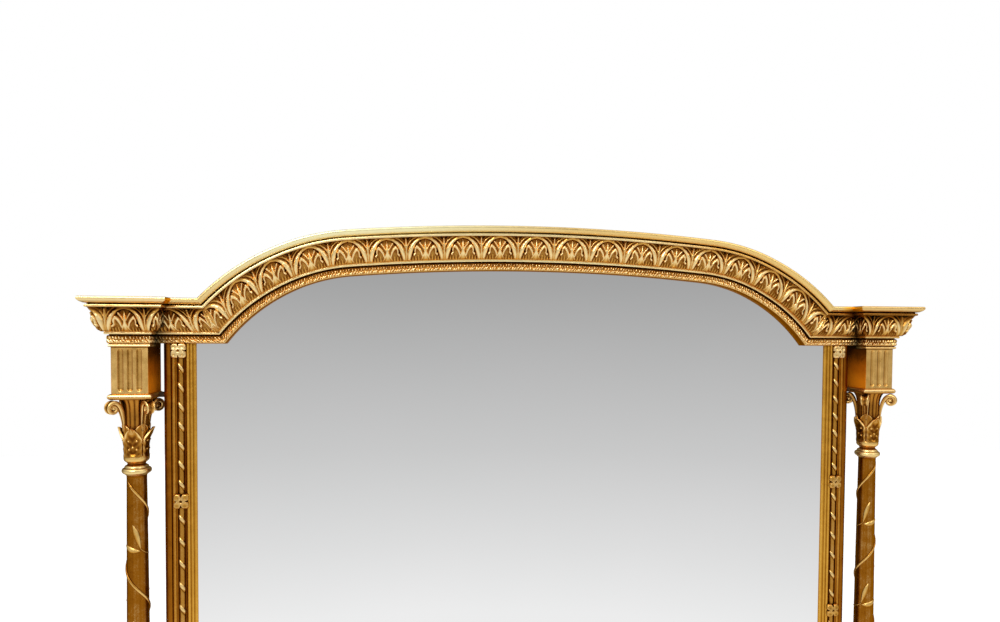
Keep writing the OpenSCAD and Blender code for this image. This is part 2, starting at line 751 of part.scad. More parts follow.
// A volute's centre line: it climbs the bell, turns over at the top and rolls in
eye_z = capital_top - volute_r - 0.4;
strap_t = 3.2;
scroll_n = 30;
scroll_turn = 500;
function scroll_r(t) = volute_r - (volute_r - 3.4) * t;
function scroll_pt(t, inner) = let (a = 90 - scroll_turn * t, r = scroll_r(t) - inner * strap_t)
    [volute_reach + r * cos(a), eye_z + r * sin(a)];
function stem_pt(t, inner) = let (r0 = bell_r - 1.5, z0 = capital_top - capital_h * 0.38)
    [r0 + inner * strap_t * (1 - t) + (volute_reach - r0) * (1 - cos(90 * t)),
     z0 + (capital_top - 0.4 - z0) * sin(90 * t) - inner * strap_t * t];
stem_n = 7;
volute_pts = concat([for (i = [0:stem_n - 1]) stem_pt(i / stem_n, 0)],
    [for (i = [0:scroll_n]) scroll_pt(i / scroll_n, 0)],
    [for (i = [scroll_n:-1:0]) scroll_pt(i / scroll_n, 1)],
    [for (i = [stem_n - 1:-1:0]) stem_pt(i / stem_n, 1)]);

module volute() {
    rotate([90, 0, 0]) linear_extrude(volute_w, center = true) polygon(volute_pts);
    rotate([90, 0, 0]) translate([volute_reach, eye_z, -volute_w * 0.3])
        cylinder(r = volute_r - strap_t / 2, h = volute_w * 0.6, $fn = 40);
    rotate([90, 0, 0]) translate([volute_reach, eye_z, -volute_w * 0.55])
        cylinder(r = 2.6, h = volute_w * 1.1, $fn = 24);
}

module capital_volutes() {
    difference() {
        on_column() for (a = [45:90:315]) rotate([0, 0, a]) volute();
        on_column() rotate_extrude($fn = 64) polygon(bell_pts);
    }
}

module capital_volutes_left() color(gilt) side(-1) capital_volutes();
module capital_volutes_right() color(gilt) side(1) capital_volutes();

// A leaf of the collar: a thin curved blade, cut to a pointed outline
blade_t = 2.4;
blade_tip_r = 31;
blade_n = 6;
function blade_r(t) = collar_r - 0.5 + (blade_tip_r - collar_r) * pow(t, 3);
function blade_z(t) = cup_z - 2 + (leaf_tip_z - cup_z + 2) * (t - 0.12 * pow(t, 6)) / 0.88;
blade_pts = concat([for (i = [0:blade_n]) [blade_r(i / blade_n) + blade_t, blade_z(i / blade_n)]],
    [for (i = [blade_n:-1:0]) [blade_r(i / blade_n), blade_z(i / blade_n) + 0.8]]);
blade_w = 2 * collar_r * sin(180 / leaf_n);

module collar_leaf() {
    intersection() {
        rotate([0, 0, -180 / leaf_n + 1]) rotate_extrude(angle = 360 / leaf_n - 2, $fn = 64)
            polygon(blade_pts);
        rotate([90, 0, 90]) linear_extrude(2 * blade_tip_r)
            polygon([[-blade_w / 2, cup_z - 8], [blade_w / 2, cup_z - 8],
                [blade_w / 2 + 1, leaf_tip_z - 18], [blade_w / 3, leaf_tip_z - 6], [0, leaf_tip_z + 6],
                [-blade_w / 3, leaf_tip_z - 6], [-blade_w / 2 - 1, leaf_tip_z - 18]]);
    }
}

module capital_leaves() {
    difference() {
        on_column() for (i = [0:leaf_n - 1]) rotate([0, 0, 360 / leaf_n * i]) collar_leaf();
        on_column() rotate_extrude($fn = 64) polygon(bell_pts);
    }
}

module capital_leaves_left() color(gilt) side(-1) capital_leaves();
module capital_leaves_right() color(gilt) side(1) capital_leaves();

// ---- Columns ----

ring_z = neck_z - ring_h;
function shaft_r(z) = shaft_foot_r + (shaft_top_r - shaft_foot_r) * (z - shaft_foot_z) / (ring_z - shaft_foot_z);
shaft_pts = [[0, shaft_foot_z - shaft_tenon_l], [tenon_r, shaft_foot_z - shaft_tenon_l],
    [tenon_r, shaft_foot_z], [shaft_foot_r + 2.5, shaft_foot_z], [shaft_foot_r + 2.5, shaft_foot_z + 3],
    [shaft_r(shaft_foot_z + 9) + 0.4, shaft_foot_z + 9], [shaft_r(shaft_foot_z + 14), shaft_foot_z + 14],
    [shaft_r(ring_z - 6), ring_z - 6], [shaft_top_r, ring_z],
    [shaft_top_r + 3, ring_z + ring_h * 0.1], [ring_r - 2, ring_z + ring_h * 0.28],
    [ring_r, ring_z + ring_h * 0.42], [ring_r - 1, ring_z + ring_h * 0.52],
    [ring_r - 3.5, ring_z + ring_h * 0.66], [neck_r + 3.5, ring_z + ring_h * 0.8],
    [neck_r + 1, ring_z + ring_h * 0.9], [neck_r, neck_z], [tenon_r, neck_z],
    [tenon_r, neck_z + shaft_tenon_l], [0, neck_z + shaft_tenon_l]];

module column_shaft() {
    on_column() rotate_extrude($fn = 64) polygon(shaft_pts);
}

module column_shaft_left() color(old_gilt) side(-1) column_shaft();
module column_shaft_right() color(old_gilt) side(1) column_shaft();

// The vine: a half-round stem that winds down the column, with pointed leaves beside it
vine_rest = 0.4;
vine_step = 20;
vine_head_gap = 10;
vine_foot_gap = 22;
vine_z1 = ring_z - vine_head_gap;
vine_z0 = shaft_foot_z + vine_foot_gap;
vine_rings = floor((vine_z1 - vine_z0) / vine_pitch * 360 / vine_step);
vine_half = vine_d / 2;
stem_sec = [[0, -1], [0.62, -0.72], [0.95, 0], [0.62, 0.72], [0, 1]];
// Azimuths are measured from the front, toward the mirror image's outer side; each side
// starts its stem at its own azimuth, and the stem runs inward across the column's front
vine_start_left = 29;
vine_start_right = -8;
function vine_az(z) = -360 * (vine_z1 - z) / vine_pitch;
function stem_at(z, p) = let (r = shaft_r(z) + vine_rest + p[0] * vine_half, a = vine_az(z))
    [r * sin(a), -r * cos(a), z + p[1] * vine_half * 1.15];

module vine_stem() {
    k = len(stem_sec);
    n = vine_rings;
    pts = [for (i = [0:n]) for (p = stem_sec) stem_at(vine_z1 - i * vine_pitch * vine_step / 360, p)];
    polyhedron(points = pts, faces = concat(
        [[for (j = [0:k - 1]) j]],
        [for (i = [0:n - 1]) for (j = [0:k - 1]) let (q = (j + 1) % k)
            [i * k + j, (i + 1) * k + j, (i + 1) * k + q]],
        [for (i = [0:n - 1]) for (j = [0:k - 1]) let (q = (j + 1) % k)
            [i * k + j, (i + 1) * k + q, i * k + q]],
        [[for (j = [k - 1:-1:0]) n * k + j]]));
}

vine_leaf_l = 28;
vine_leaf_w = 9;
vine_leaf_t = 1.6;
// A leaf pointed at both ends, that lies on the column at an azimuth and a tilt
module vine_leaf(z, az, tilt) {
    r = (pow(vine_leaf_l / 2, 2) + pow(vine_leaf_w / 2, 2)) / vine_leaf_w;
    off = r - vine_leaf_w / 2;
    intersection() {
        rotate([0, 0, az]) translate([0, 0, z]) rotate([0, tilt, 0]) rotate([90, 0, 0]) intersection() {
            translate([off, 0, 0]) cylinder(r = r, h = 2 * shaft_foot_r, $fn = 60);
            translate([-off, 0, 0]) cylinder(r = r, h = 2 * shaft_foot_r, $fn = 60);
        }
        difference() {
            translate([0, 0, z - vine_leaf_l]) cylinder(r1 = shaft_r(z - vine_leaf_l) + vine_leaf_t,
                r2 = shaft_r(z + vine_leaf_l) + vine_leaf_t, h = 2 * vine_leaf_l, $fn = 64);
            translate([0, 0, z - vine_leaf_l]) cylinder(r1 = shaft_r(z - vine_leaf_l) + fit_clear,
                r2 = shaft_r(z + vine_leaf_l) + fit_clear, h = 2 * vine_leaf_l, $fn = 64);
        }
    }
}

// Two leaves grow at every half turn, on the other side of the column from the stem:
// [distance below the half turn, tilt from upright], the distance in turns
vine_leaves = [[0.11, 22], [0.23, 66]];
leaf_every = 0.5;
half_turns = floor((vine_z1 - vine_z0) / vine_pitch / leaf_every);
module column_vine(start) {
    on_column() rotate([0, 0, start]) {
        vine_stem();
        for (i = [0:half_turns - 1]) for (leaf = vine_leaves)
            vine_leaf(vine_z1 - (i * leaf_every + leaf[0]) * vine_pitch,
                vine_az(vine_z1 - (i * leaf_every + leaf[0]) * vine_pitch) + 180, leaf[1]);
    }
}

module column_vine_left() color(gilt) side(-1) column_vine(vine_start_left);
module column_vine_right() color(gilt) side(1) column_vine(vine_start_right);

// A turned base with two rolls and a hollow between, on a square foot
foot_h = 13;
torus_r = shaft_foot_r + 7;
base_turn_pts = concat([[0, base_h + foot_h - overlap], [torus_r - 6, base_h + foot_h - overlap]],
    [for (i = [0:6]) let (a = -90 + 30 * i)
        [torus_r - 5.5 + 5.5 * cos(a), base_h + foot_h + 5.5 * (1 + sin(a))]],
    [[torus_r - 5.5, base_h + foot_h + 12.5], [torus_r - 7.5, base_h + foot_h + 16],
    [torus_r - 8, base_h + foot_h + 20], [torus_r - 6, base_h + foot_h + 24]],
    [for (i = [0:6]) let (a = -90 + 30 * i)
        [torus_r - 6 + 4 * cos(a), shaft_foot_z - 9 + 4 * (1 + sin(a))]],
    [[torus_r - 6, shaft_foot_z], [0, shaft_foot_z]]);

module column_base() {
    w = 2 * torus_r + 1;
    difference() {
        union() {
            translate([column_x - w / 2, y_at(column_depth + w / 2), base_h]) cube([w, w, foot_h]);
            on_column() rotate_extrude($fn = 64) polygon(base_turn_pts);
        }
        socket(shaft_foot_z, -1);
        dowel_hole(base_h);
    }
}

module column_base_left() color(gilt) side(-1) column_base();
module column_base_right() color(gilt) side(1) column_base();

module column_dowels() color(pine) {
    for (s = [-1, 1]) side(s) on_column() for (z = [block_top, abacus_top, base_h])
        translate([0, 0, z - dowel_l]) cylinder(d = dowel_d, h = 2 * dowel_l, $fn = 40);
}

// A short block that ties each abacus to the carcass beside it
tie_back = backboard_t + 3;
module column_ties() color(pine) {
    for (s = [-1, 1]) side(s)
        translate([carcass_out, y_at(carcass_front - 6), capital_top + 1])
            cube([column_x - abacus_w / 2 - carcass_out, carcass_front - 6 - tie_back, abacus_h - 2]);
}

// ---- Base ----

foot_proj = 3;
cap_proj = 6;
base_side_pts = [[0, foot_proj], [base_foot_h - 4, foot_proj], [base_foot_h - 1.5, foot_proj - 1],
    [base_foot_h, 0], [base_h - base_cap_h, 0], [base_h - base_cap_h + 1, 1.5],
    [base_h - base_cap_h * 0.75, 2], [base_h - base_cap_h * 0.45, 3.5],
    [base_h - base_cap_h * 0.3, 5], [base_h - base_cap_h * 0.25, cap_proj], [base_h, cap_proj]];

module plinth_block() {
    difference() {
        moulded_block(base_side_pts, column_x, block_w, 0, block_face);
        // The base runs in behind the block's inner return
        along_x(block_in - block_w, block_in, 0)
            section(concat([[-overlap, foot_proj]], base_side_pts, [[base_h + overlap, cap_proj]]),
                base_face, -overlap);
        foot_tenon(fit_clear);
        dowel_hole(base_h);
    }
}

module plinth_block_left() color(gilt) side(-1) plinth_block();
module plinth_block_right() color(gilt) side(1) plinth_block();

module base_board() color(old_gilt) {
    along_x(-block_in, block_in, 0)
        section([for (p = base_side_pts) if (p[0] <= base_h - base_cap_h) p], base_face, carcass_front);
}

// The moulding along the top of the base, which the stiles' mouldings stand on
module base_cap_moulding() color(gilt) {
    along_x(-block_in, block_in, 0)
        section([for (p = base_side_pts) if (p[0] >= base_h - base_cap_h) p], base_face, carcass_front);
}

mirror_glass();
backboard_left();
backboard_middle();
backboard_right();
carcass_top_rail();
carcass_bottom_rail();
carcass_stile_left();
carcass_stile_right();
glazing_blocks();
backboard_screws();
sight_moulding_left();
sight_moulding_right();
sight_moulding_bottom();
stile_moulding_left();
stile_moulding_right();
ribbon_twist_left();
ribbon_twist_right();
rosettes_left();
rosettes_right();
band_crown();
band_shoulder_left();
band_shoulder_right();
band_return_left();
band_return_right();
frieze_crown();
frieze_shoulder_left();
frieze_shoulder_right();
frieze_return_left();
frieze_return_right();
fascia_crown();
fascia_shoulder_left();
fascia_shoulder_right();
fascia_return_left();
fascia_return_right();
mitre_leaves();
entablature_block_left();
entablature_block_right();
impost_block_left();
impost_block_right();
abacus_left();
abacus_right();
capital_bell_left();
capital_bell_right();
capital_volutes_left();
capital_volutes_right();
capital_leaves_left();
capital_leaves_right();
column_shaft_left();
column_shaft_right();
column_vine_left();
column_vine_right();
column_base_left();
column_base_right();
plinth_block_left();
plinth_block_right();
column_dowels();
column_ties();
base_board();
base_cap_moulding();
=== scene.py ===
import bmesh
import bpy
import numpy as np
from mathutils import Matrix


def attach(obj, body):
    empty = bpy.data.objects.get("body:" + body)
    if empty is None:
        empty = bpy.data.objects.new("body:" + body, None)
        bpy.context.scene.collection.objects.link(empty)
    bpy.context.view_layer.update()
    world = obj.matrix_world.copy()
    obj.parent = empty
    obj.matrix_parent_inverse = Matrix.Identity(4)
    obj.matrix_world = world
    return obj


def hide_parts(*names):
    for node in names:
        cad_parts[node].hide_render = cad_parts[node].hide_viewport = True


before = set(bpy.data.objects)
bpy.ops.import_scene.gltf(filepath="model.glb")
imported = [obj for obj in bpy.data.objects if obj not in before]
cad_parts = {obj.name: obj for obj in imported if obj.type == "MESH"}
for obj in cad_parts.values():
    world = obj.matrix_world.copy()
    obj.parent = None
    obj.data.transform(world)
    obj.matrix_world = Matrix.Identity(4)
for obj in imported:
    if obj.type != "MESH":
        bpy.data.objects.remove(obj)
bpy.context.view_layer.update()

# ---- Camera, light and floor ----
# The mirror is seen from a little left of its middle, close to it, level with the blocks of
# its cornice. The light is a soft studio: bright above, grey at eye level, pale below.

CAMERA_PLACE = (-0.2786, -1.3131, 1.2062)
CAMERA_YAW, CAMERA_PITCH, CAMERA_ROLL = np.radians([9.18, -1.80, 0.36])
CAMERA_LENS = 25.606
CAMERA_SHIFT_Y = 0.0437


def camera_turn(yaw, pitch, roll):
    """The camera's right, up and backward directions: level ones turned by the yaw,
    tipped by the pitch, and then rolled about the line of sight."""
    ahead = np.array([np.sin(yaw), np.cos(yaw), 0.0])
    right = np.array([np.cos(yaw), -np.sin(yaw), 0.0])
    up = np.array([0.0, 0.0, 1.0])
    forward = np.cos(pitch) * ahead + np.sin(pitch) * up
    upward = -np.sin(pitch) * ahead + np.cos(pitch) * up
    rolled_right = np.cos(roll) * right + np.sin(roll) * upward
    rolled_up = -np.sin(roll) * right + np.cos(roll) * upward
    return np.stack([rolled_right, rolled_up, -forward], axis=1)


lens = bpy.data.cameras.new("camera")
lens.lens = CAMERA_LENS
lens.sensor_width = 36.0
lens.shift_y = CAMERA_SHIFT_Y
lens.clip_start = 0.02
camera = bpy.data.objects.new("camera", lens)
turn = camera_turn(CAMERA_YAW, CAMERA_PITCH, CAMERA_ROLL)
camera.matrix_world = Matrix.Translation(CAMERA_PLACE) @ Matrix(turn.tolist()).to_4x4()
bpy.context.scene.collection.objects.link(camera)
bpy.context.scene.camera = camera
bpy.context.scene.view_settings.view_transform = "Standard"


def feed(tree, node, sockets):
    """Gives a node's inputs, by name or number, a value or another node's output."""
    for key, value in sockets.items():
        if isinstance(value, bpy.types.NodeSocket):
            tree.links.new(value, node.inputs[key])
        else:
            node.inputs[key].default_value = value


def add(tree, kind, sockets=None, **settings):
    """Adds one node to a tree, with its own properties set and its inputs fed."""
    made = tree.nodes.new("ShaderNode" + kind)
    for key, value in settings.items():
        setattr(made, key, value)
    feed(tree, made, sockets or {})
    return made


def scaled(tree, value, start, end, low=0.0, high=1.0, **settings):
    """A value that runs from low to high as the given one runs from start to end."""
    return add(tree, "MapRange", {"Value": value, "From Min": start, "From Max": end,
                                  "To Min": low, "To Max": high}, **settings).outputs[0]


def ramp(tree, factor, stops):
    """A colour ramp with a stop at each (position, colour)."""
    made = add(tree, "ValToRGB", {0: factor})
    elements = made.color_ramp.elements
    for i, (position, colour) in enumerate(stops):
        stop = elements[i] if i < 2 else elements.new(position)
        stop.position = position
        stop.color = (*colour, 1.0)
    return made.outputs[0]


# Brightness of the studio by the sine of the height above the horizon. A ramp holds nothing
# above 1, so it is divided by the strength, which falls away behind the mirror
STUDIO_STRENGTH, STRENGTH_BEHIND = 1.2, 0.3
STUDIO = [(-1.0, 0.95), (-0.369, 0.89), (-0.2925, 0.78), (-0.163, 0.615), (-0.0247, 0.486),
          (0.0707, 0.395), (0.22, 0.36), (0.5, 0.8), (0.8, 1.1), (1.0, 1.1)]
studio = bpy.data.worlds.new("studio")
studio.use_nodes = True
bpy.context.scene.world = studio
sky = studio.node_tree
sky.nodes.clear()
ray = add(sky, "SeparateXYZ", {0: add(sky, "TexCoord").outputs["Generated"]})
level = scaled(sky, ray.outputs["Z"], -1.0, 1.0)
strength = scaled(sky, ray.outputs["Y"], -0.1, 0.5, STUDIO_STRENGTH, STRENGTH_BEHIND)
shade = ramp(sky, level, [((sine + 1) / 2, (grey / STUDIO_STRENGTH,) * 3) for sine, grey in STUDIO])
lit = add(sky, "Background", {"Color": shade, "Strength": strength})
white = add(sky, "Background", {"Color": (1, 1, 1, 1), "Strength": 1.0})
seen = add(sky, "LightPath").outputs["Is Camera Ray"]
both = add(sky, "MixShader", {0: seen, 1: lit.outputs[0], 2: white.outputs[0]})
add(sky, "OutputWorld", {"Surface": both.outputs[0]})


def lamp(name, place, target, size, power):
    """A square soft lamp at a place, turned to face a target."""
    light = bpy.data.lights.new(name, "AREA")
    light.size = size
    light.energy = power
    made = bpy.data.objects.new(name, light)
    back = np.array(place, float) - np.array(target, float)
    back /= np.linalg.norm(back)
    side = np.cross((0.0, 0.0, 1.0), back)
    side /= np.linalg.norm(side)
    turn = np.stack([side, np.cross(back, side), back], axis=1)
    made.matrix_world = Matrix.Translation(place) @ Matrix(turn.tolist()).to_4x4()
    bpy.context.scene.collection.objects.link(made)


lamp("key_lamp", (-1.5, -2.4, 2.9), (-0.2, 0.0, 1.1), 1.1, 46)
lamp("fill_lamp", (1.9, -2.2, 2.3), (0.2, 0.0, 1.0), 1.2, 9)

FLOOR_REACH = 6.0
FLOOR_Z = -0.0005
floor_mesh = bpy.data.meshes.new("floor")
floor_mesh.from_pydata([(x * FLOOR_REACH, y * FLOOR_REACH, FLOOR_Z) for x, y in
                        ((-1, -1), (1, -1), (1, 1), (-1, 1))], [], [(0, 1, 2, 3)])
floor = bpy.data.objects.new("floor", floor_mesh)
bpy.context.scene.collection.objects.link(floor)
floor.visible_glossy = False
paper = bpy.data.materials.new("floor_paper")
paper.use_nodes = True
sheet = paper.node_tree
sheet.nodes.clear()
matt = add(sheet, "BsdfDiffuse", {"Color": (0.84, 0.84, 0.84, 1)})
glow = add(sheet, "Emission", {"Color": (1, 1, 1, 1), "Strength": 0.6})
sheen = add(sheet, "AddShader", {0: matt.outputs[0], 1: glow.outputs[0]})
seen = add(sheet, "LightPath").outputs["Is Camera Ray"]
both = add(sheet, "MixShader", {0: seen, 1: matt.outputs[0], 2: sheen.outputs[0]})
add(sheet, "OutputMaterial", {"Surface": both.outputs[0]})
floor_mesh.materials.append(paper)

# ---- Carcass, backboards, glazing blocks, ties and dowels ----
# The hidden pine frame is mortised together and carries everything. Three boards are screwed
# over its back, small blocks wedge the plate, and dowels and ties hold the columns' pieces.


def new_group(name, inputs, outputs):
    """An empty shader group with named inputs (kind, name, value) and outputs (kind, name)."""
    group = bpy.data.node_groups.new(name, "ShaderNodeTree")
    for kind, label, value in inputs:
        socket = group.interface.new_socket(label, in_out="INPUT", socket_type="NodeSocket" + kind)
        socket.default_value = value
    for kind, label in outputs:
        group.interface.new_socket(label, in_out="OUTPUT", socket_type="NodeSocket" + kind)
    return group, group.nodes.new("NodeGroupInput").outputs, group.nodes.new("NodeGroupOutput")


def maths(tree, operation, *values, clamp=False):
    """One arithmetic node; values are numbers or outputs."""
    made = add(tree, "Math", dict(enumerate(values)), operation=operation, use_clamp=clamp)
    return made.outputs[0]


def mixed(tree, factor, a, b):
    """Colour a turning into colour b as the factor goes from 0 to 1."""
    a, b = [c if isinstance(c, bpy.types.NodeSocket) else (*c, 1.0) for c in (a, b)]
    return add(tree, "Mix", {0: factor, 6: a, 7: b}, data_type="RGBA").outputs[2]


def noise(tree, where, scale, detail, roughness=0.5, distortion=0.0):
    """A cloudy pattern; the scale is how often it comes in a metre."""
    return add(tree, "TexNoise", {"Vector": where, "Scale": scale, "Detail": detail,
                                  "Roughness": roughness, "Distortion": distortion}).outputs[0]


grain_group, given, out = new_group(
    "sawn_grain",
    [("Vector", "Stretch", (1, 1, 1)), ("Color", "Pale", (1, 1, 1, 1)),
     ("Color", "Dark", (0, 0, 0, 1))],
    [("Color", "Color"), ("Float", "Roughness"), ("Float", "Height")])
where = add(grain_group, "TexCoord").outputs["Object"]
along = add(grain_group, "VectorMath", {0: where, 1: given["Stretch"]},
            operation="MULTIPLY").outputs[0]
lines = noise(grain_group, along, 60.0, 6.0, 0.65, 0.6)
stain = noise(grain_group, where, 5.0, 4.0)
wood = mixed(grain_group, scaled(grain_group, lines, 0.3, 0.7), given["Dark"], given["Pale"])
dust = scaled(grain_group, stain, 0.35, 0.75, high=0.55)
feed(grain_group, out, {"Color": mixed(grain_group, dust, wood, (0.09, 0.06, 0.035)),
                        "Roughness": scaled(grain_group, lines, 0.0, 1.0, 0.85, 0.65),
                        "Height": lines})


def new_finish(name):
    """A new material, with its node tree and its shader."""
    made = bpy.data.materials.new(name)
    made.use_nodes = True
    return made, made.node_tree, made.node_tree.nodes["Principled BSDF"]


def surface(tree, shader, colour, roughness, height, strength, distance):
    """Feeds a shader with a colour, a roughness and a bump of the given strength."""
    bump = add(tree, "Bump", {"Height": height, "Strength": strength, "Distance": distance})
    feed(tree, shader, {"Base Color": colour, "Roughness": roughness, "Normal": bump.outputs[0]})


def pine(name, stretch, pale=(0.40, 0.26, 0.13), dark=(0.20, 0.11, 0.05)):
    """Old sawn pine, with its grain along the axis that the stretch leaves smallest."""
    made, tree, shader = new_finish(name)
    grain = add(tree, "Group", {"Stretch": stretch, "Pale": (*pale, 1), "Dark": (*dark, 1)},
                node_tree=grain_group).outputs
    surface(tree, shader, grain["Color"], grain["Roughness"], grain["Height"], 0.35, 0.0006)
    return made


def dress(finish, *names):
    """Gives a finish to nodes that keep their own solid."""
    for name in names:
        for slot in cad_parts[name].material_slots:
            slot.material = finish


dress(pine("pine_upright", (1, 1, 0.06)), "backboard_left", "backboard_middle", "backboard_right",
      "carcass_stile_left", "carcass_stile_right", "column_dowels")
dress(pine("pine_level", (0.06, 1, 1)), "carcass_top_rail", "carcass_bottom_rail",
      "glazing_blocks")
# The ties behind the capitals are coloured almost black, as painted shade
dress(pine("pine_dark_as_shade", (0.06, 1, 1), (0.06, 0.03, 0.012), (0.02, 0.011, 0.006)), "column_ties")

# ---- Backboard screws ----
# Countersunk iron screws with flat heads, driven through the boards into the carcass.

iron, tree, shader = new_finish("old_iron")
rust = noise(tree, add(tree, "TexCoord").outputs["Object"], 420.0, 5.0)
rusty = ramp(tree, rust, [(0.35, (0.035, 0.032, 0.03)), (0.62, (0.13, 0.055, 0.022))])
surface(tree, shader, rusty, scaled(tree, rust, 0.0, 1.0, 0.4, 0.85), rust, 0.5, 0.0003)
shader.inputs["Metallic"].default_value = 0.8
dress(iron, "backboard_screws")

# ---- Mirror plate ----
# One sheet of silvered plate glass, cut to the arch. It lies in a rebate behind the mouldings.

silver, tree, shader = new_finish("silvered_glass")
cloud = noise(tree, add(tree, "TexCoord").outputs["Object"], 3.0, 3.0)
feed(tree, shader, {
    "Base Color": ramp(tree, cloud, [(0.3, (0.935, 0.94, 0.94)), (0.7, (0.95, 0.95, 0.952))]),
    "Roughness": scaled(tree, cloud, 0.0, 1.0, 0.008, 0.018), "Metallic": 1.0})
dress(silver, "mirror_glass")

# ---- Stepped sight mouldings and stile mouldings ----
# Pine mouldings covered with gesso, red bole and gold leaf, glued and pinned to the stiles and
# mitred at the lower corners. The leaf is toned brown in the channel and rubbed pale on the steps,
# and the same tones paint shade in the channel and quirks and highlights on the rounds.

gilt_group, given, out = new_group(
    "aged_leaf",
    [("Float", "Raised", 0.8), ("Float", "Soot And Shade", 0.0), ("Color", "Pale", (1, 1, 1, 1)),
     ("Color", "Rich", (1, 1, 1, 1)), ("Color", "Hollow", (0, 0, 0, 1)), ("Float", "Patchy", 0.3),
     ("Float", "Crevice Dirt And Shade", 1.0), ("Float", "Warm", 0.0)],
    [("Color", "Color"), ("Float", "Roughness"), ("Float", "Height")])
where = add(gilt_group, "TexCoord").outputs["Object"]
broad = noise(gilt_group, where, 7.0, 3.0)
patch = noise(gilt_group, where, 55.0, 5.0, 0.6)
fine = noise(gilt_group, where, 650.0, 4.0)
# Ambient occlusion darkens the crevices: painted shade, together with dirt
occlusion_shade = add(gilt_group, "AmbientOcclusion", {"Distance": 0.011}, samples=6).outputs["AO"]


def leaf_maths(operation, a, b, clamp=False):
    """One arithmetic node of the leaf's group."""
    return maths(gilt_group, operation, a, b, clamp=clamp)


# The tone: how far the leaf is raised, mottled by the three patterns and darker in a crevice, where
# the occlusion paints shade along with dirt
crevice_dirt_and_shade = leaf_maths("MULTIPLY", leaf_maths("SUBTRACT", 1.0, scaled(gilt_group, occlusion_shade, 0.15, 0.85)),
                     given["Crevice Dirt And Shade"])
off_broad, off_patch, off_fine = [leaf_maths("SUBTRACT", cloud, 0.5)
                                  for cloud in (broad, patch, fine)]
mottle = leaf_maths("ADD", leaf_maths("ADD", off_patch, off_broad), off_fine)
tone = leaf_maths("ADD", given["Raised"], leaf_maths("MULTIPLY", mottle, given["Patchy"]))
tone = leaf_maths("SUBTRACT", tone, leaf_maths("MULTIPLY", crevice_dirt_and_shade, 0.6))
# The colours: from hollow to rich to pale by the tone, and nearly black in the deepest places, as
# painted shade with dirt
low = scaled(gilt_group, tone, 0.0, 0.5, interpolation_type="SMOOTHSTEP")
high = scaled(gilt_group, tone, 0.45, 1.0, interpolation_type="SMOOTHSTEP")
deepest_dirt_and_shade = scaled(gilt_group, tone, -0.1, -0.6)
leaf = mixed(gilt_group, low, given["Hollow"], given["Rich"])
leaf = mixed(gilt_group, high, leaf, given["Pale"])
leaf = mixed(gilt_group, deepest_dirt_and_shade, leaf, (0.028, 0.011, 0.002))
# Red bole where the leaf is rubbed through, a warmer leaf that paints reflection and shade, a pale
# leaf that paints highlights, and soot with painted shade
rubbed = scaled(gilt_group, noise(gilt_group, where, 170.0, 6.0, 0.7), 0.63, 0.74, high=0.5)
leaf = mixed(gilt_group, rubbed, leaf, (0.17, 0.045, 0.008))
leaf = mixed(gilt_group, given["Warm"], leaf, (1.0, 0.54, 0.04))
leaf = mixed(gilt_group, leaf_maths("MULTIPLY", given["Warm"], -1.0), leaf, (1.0, 0.93, 0.54))
# Soot with painted shade, nearly black, in the corners
sooty_shade = leaf_maths("MULTIPLY", given["Soot And Shade"], leaf_maths("ADD", 0.55, patch), clamp=True)
leaf = mixed(gilt_group, sooty_shade, leaf, (0.022, 0.014, 0.004))
dull = leaf_maths("MULTIPLY", leaf_maths("ADD", sooty_shade, crevice_dirt_and_shade, clamp=True), 0.3)
feed(gilt_group, out, {
    "Color": leaf,
    "Roughness": leaf_maths("ADD", scaled(gilt_group, patch, 0.3, 0.7, 0.27, 0.42), dull),
    "Height": leaf_maths("ADD", leaf_maths("MULTIPLY", fine, 0.35), patch)})


def mark_of(tree, name):
    """A value that the mesh holds at each of its points."""
    return add(tree, "Attribute", attribute_name=name).outputs["Fac"]


def gilding(name, pale, rich, hollow, raised=0.8, soot=0.0, patchy=0.3, bump=0.3, crevice_dirt_and_shade=1.0,
            warm=0.0):
    """Aged gold leaf: pale on what stands proud, rich in between and a hollow colour in the
    recesses, which is wear and toning together with painted highlights and painted shade. raised,
    the soot with its painted shade, and warm are a plain share, or the name of an attribute of the
    mesh; warm turns the leaf orange, or, below nought, to a pale greenish yellow."""
    made, tree, shader = new_finish(name)
    raised, soot, warm = [mark_of(tree, mark) if isinstance(mark, str) else mark
                          for mark in (raised, soot, warm)]
    leaf = add(tree, "Group", {"Raised": raised, "Soot And Shade": soot, "Warm": warm, "Pale": (*pale, 1),
                               "Rich": (*rich, 1), "Hollow": (*hollow, 1), "Patchy": patchy,
                               "Crevice Dirt And Shade": crevice_dirt_and_shade}, node_tree=gilt_group).outputs
    surface(tree, shader, leaf["Color"], leaf["Roughness"], leaf["Height"], bump, 0.0004)
    feed(tree, shader, {"Metallic": 1.0, "Specular Tint": (1.0, 0.62, 0.30, 1.0)})
    return made


SHARP_ANGLE = np.radians(62.0)


def tube_faces(rows, columns):
    """The quads of a tube of rings; the last point of a ring is joined to its first."""
    i, j = np.meshgrid(np.arange(rows - 1), np.arange(columns), indexing="ij")
    k = (j + 1) % columns
    return np.stack([i * columns + j, (i + 1) * columns + j, (i + 1) * columns + k,
                     i * columns + k], axis=-1).reshape(-1, 4)


def capped(points):
    """Closes a tube of rings with a point at the middle of its first and its last ring."""
    first = np.broadcast_to(points[:1].mean(1, keepdims=True), points[:1].shape)
    last = np.broadcast_to(points[-1:].mean(1, keepdims=True), points[-1:].shape)
    return np.concatenate([first, points, last])


def ends_repeated(values):
    """A value for each point of a capped tube: the end rings' values go to the caps too."""
    return np.concatenate([values[:1], values, values[-1:]])


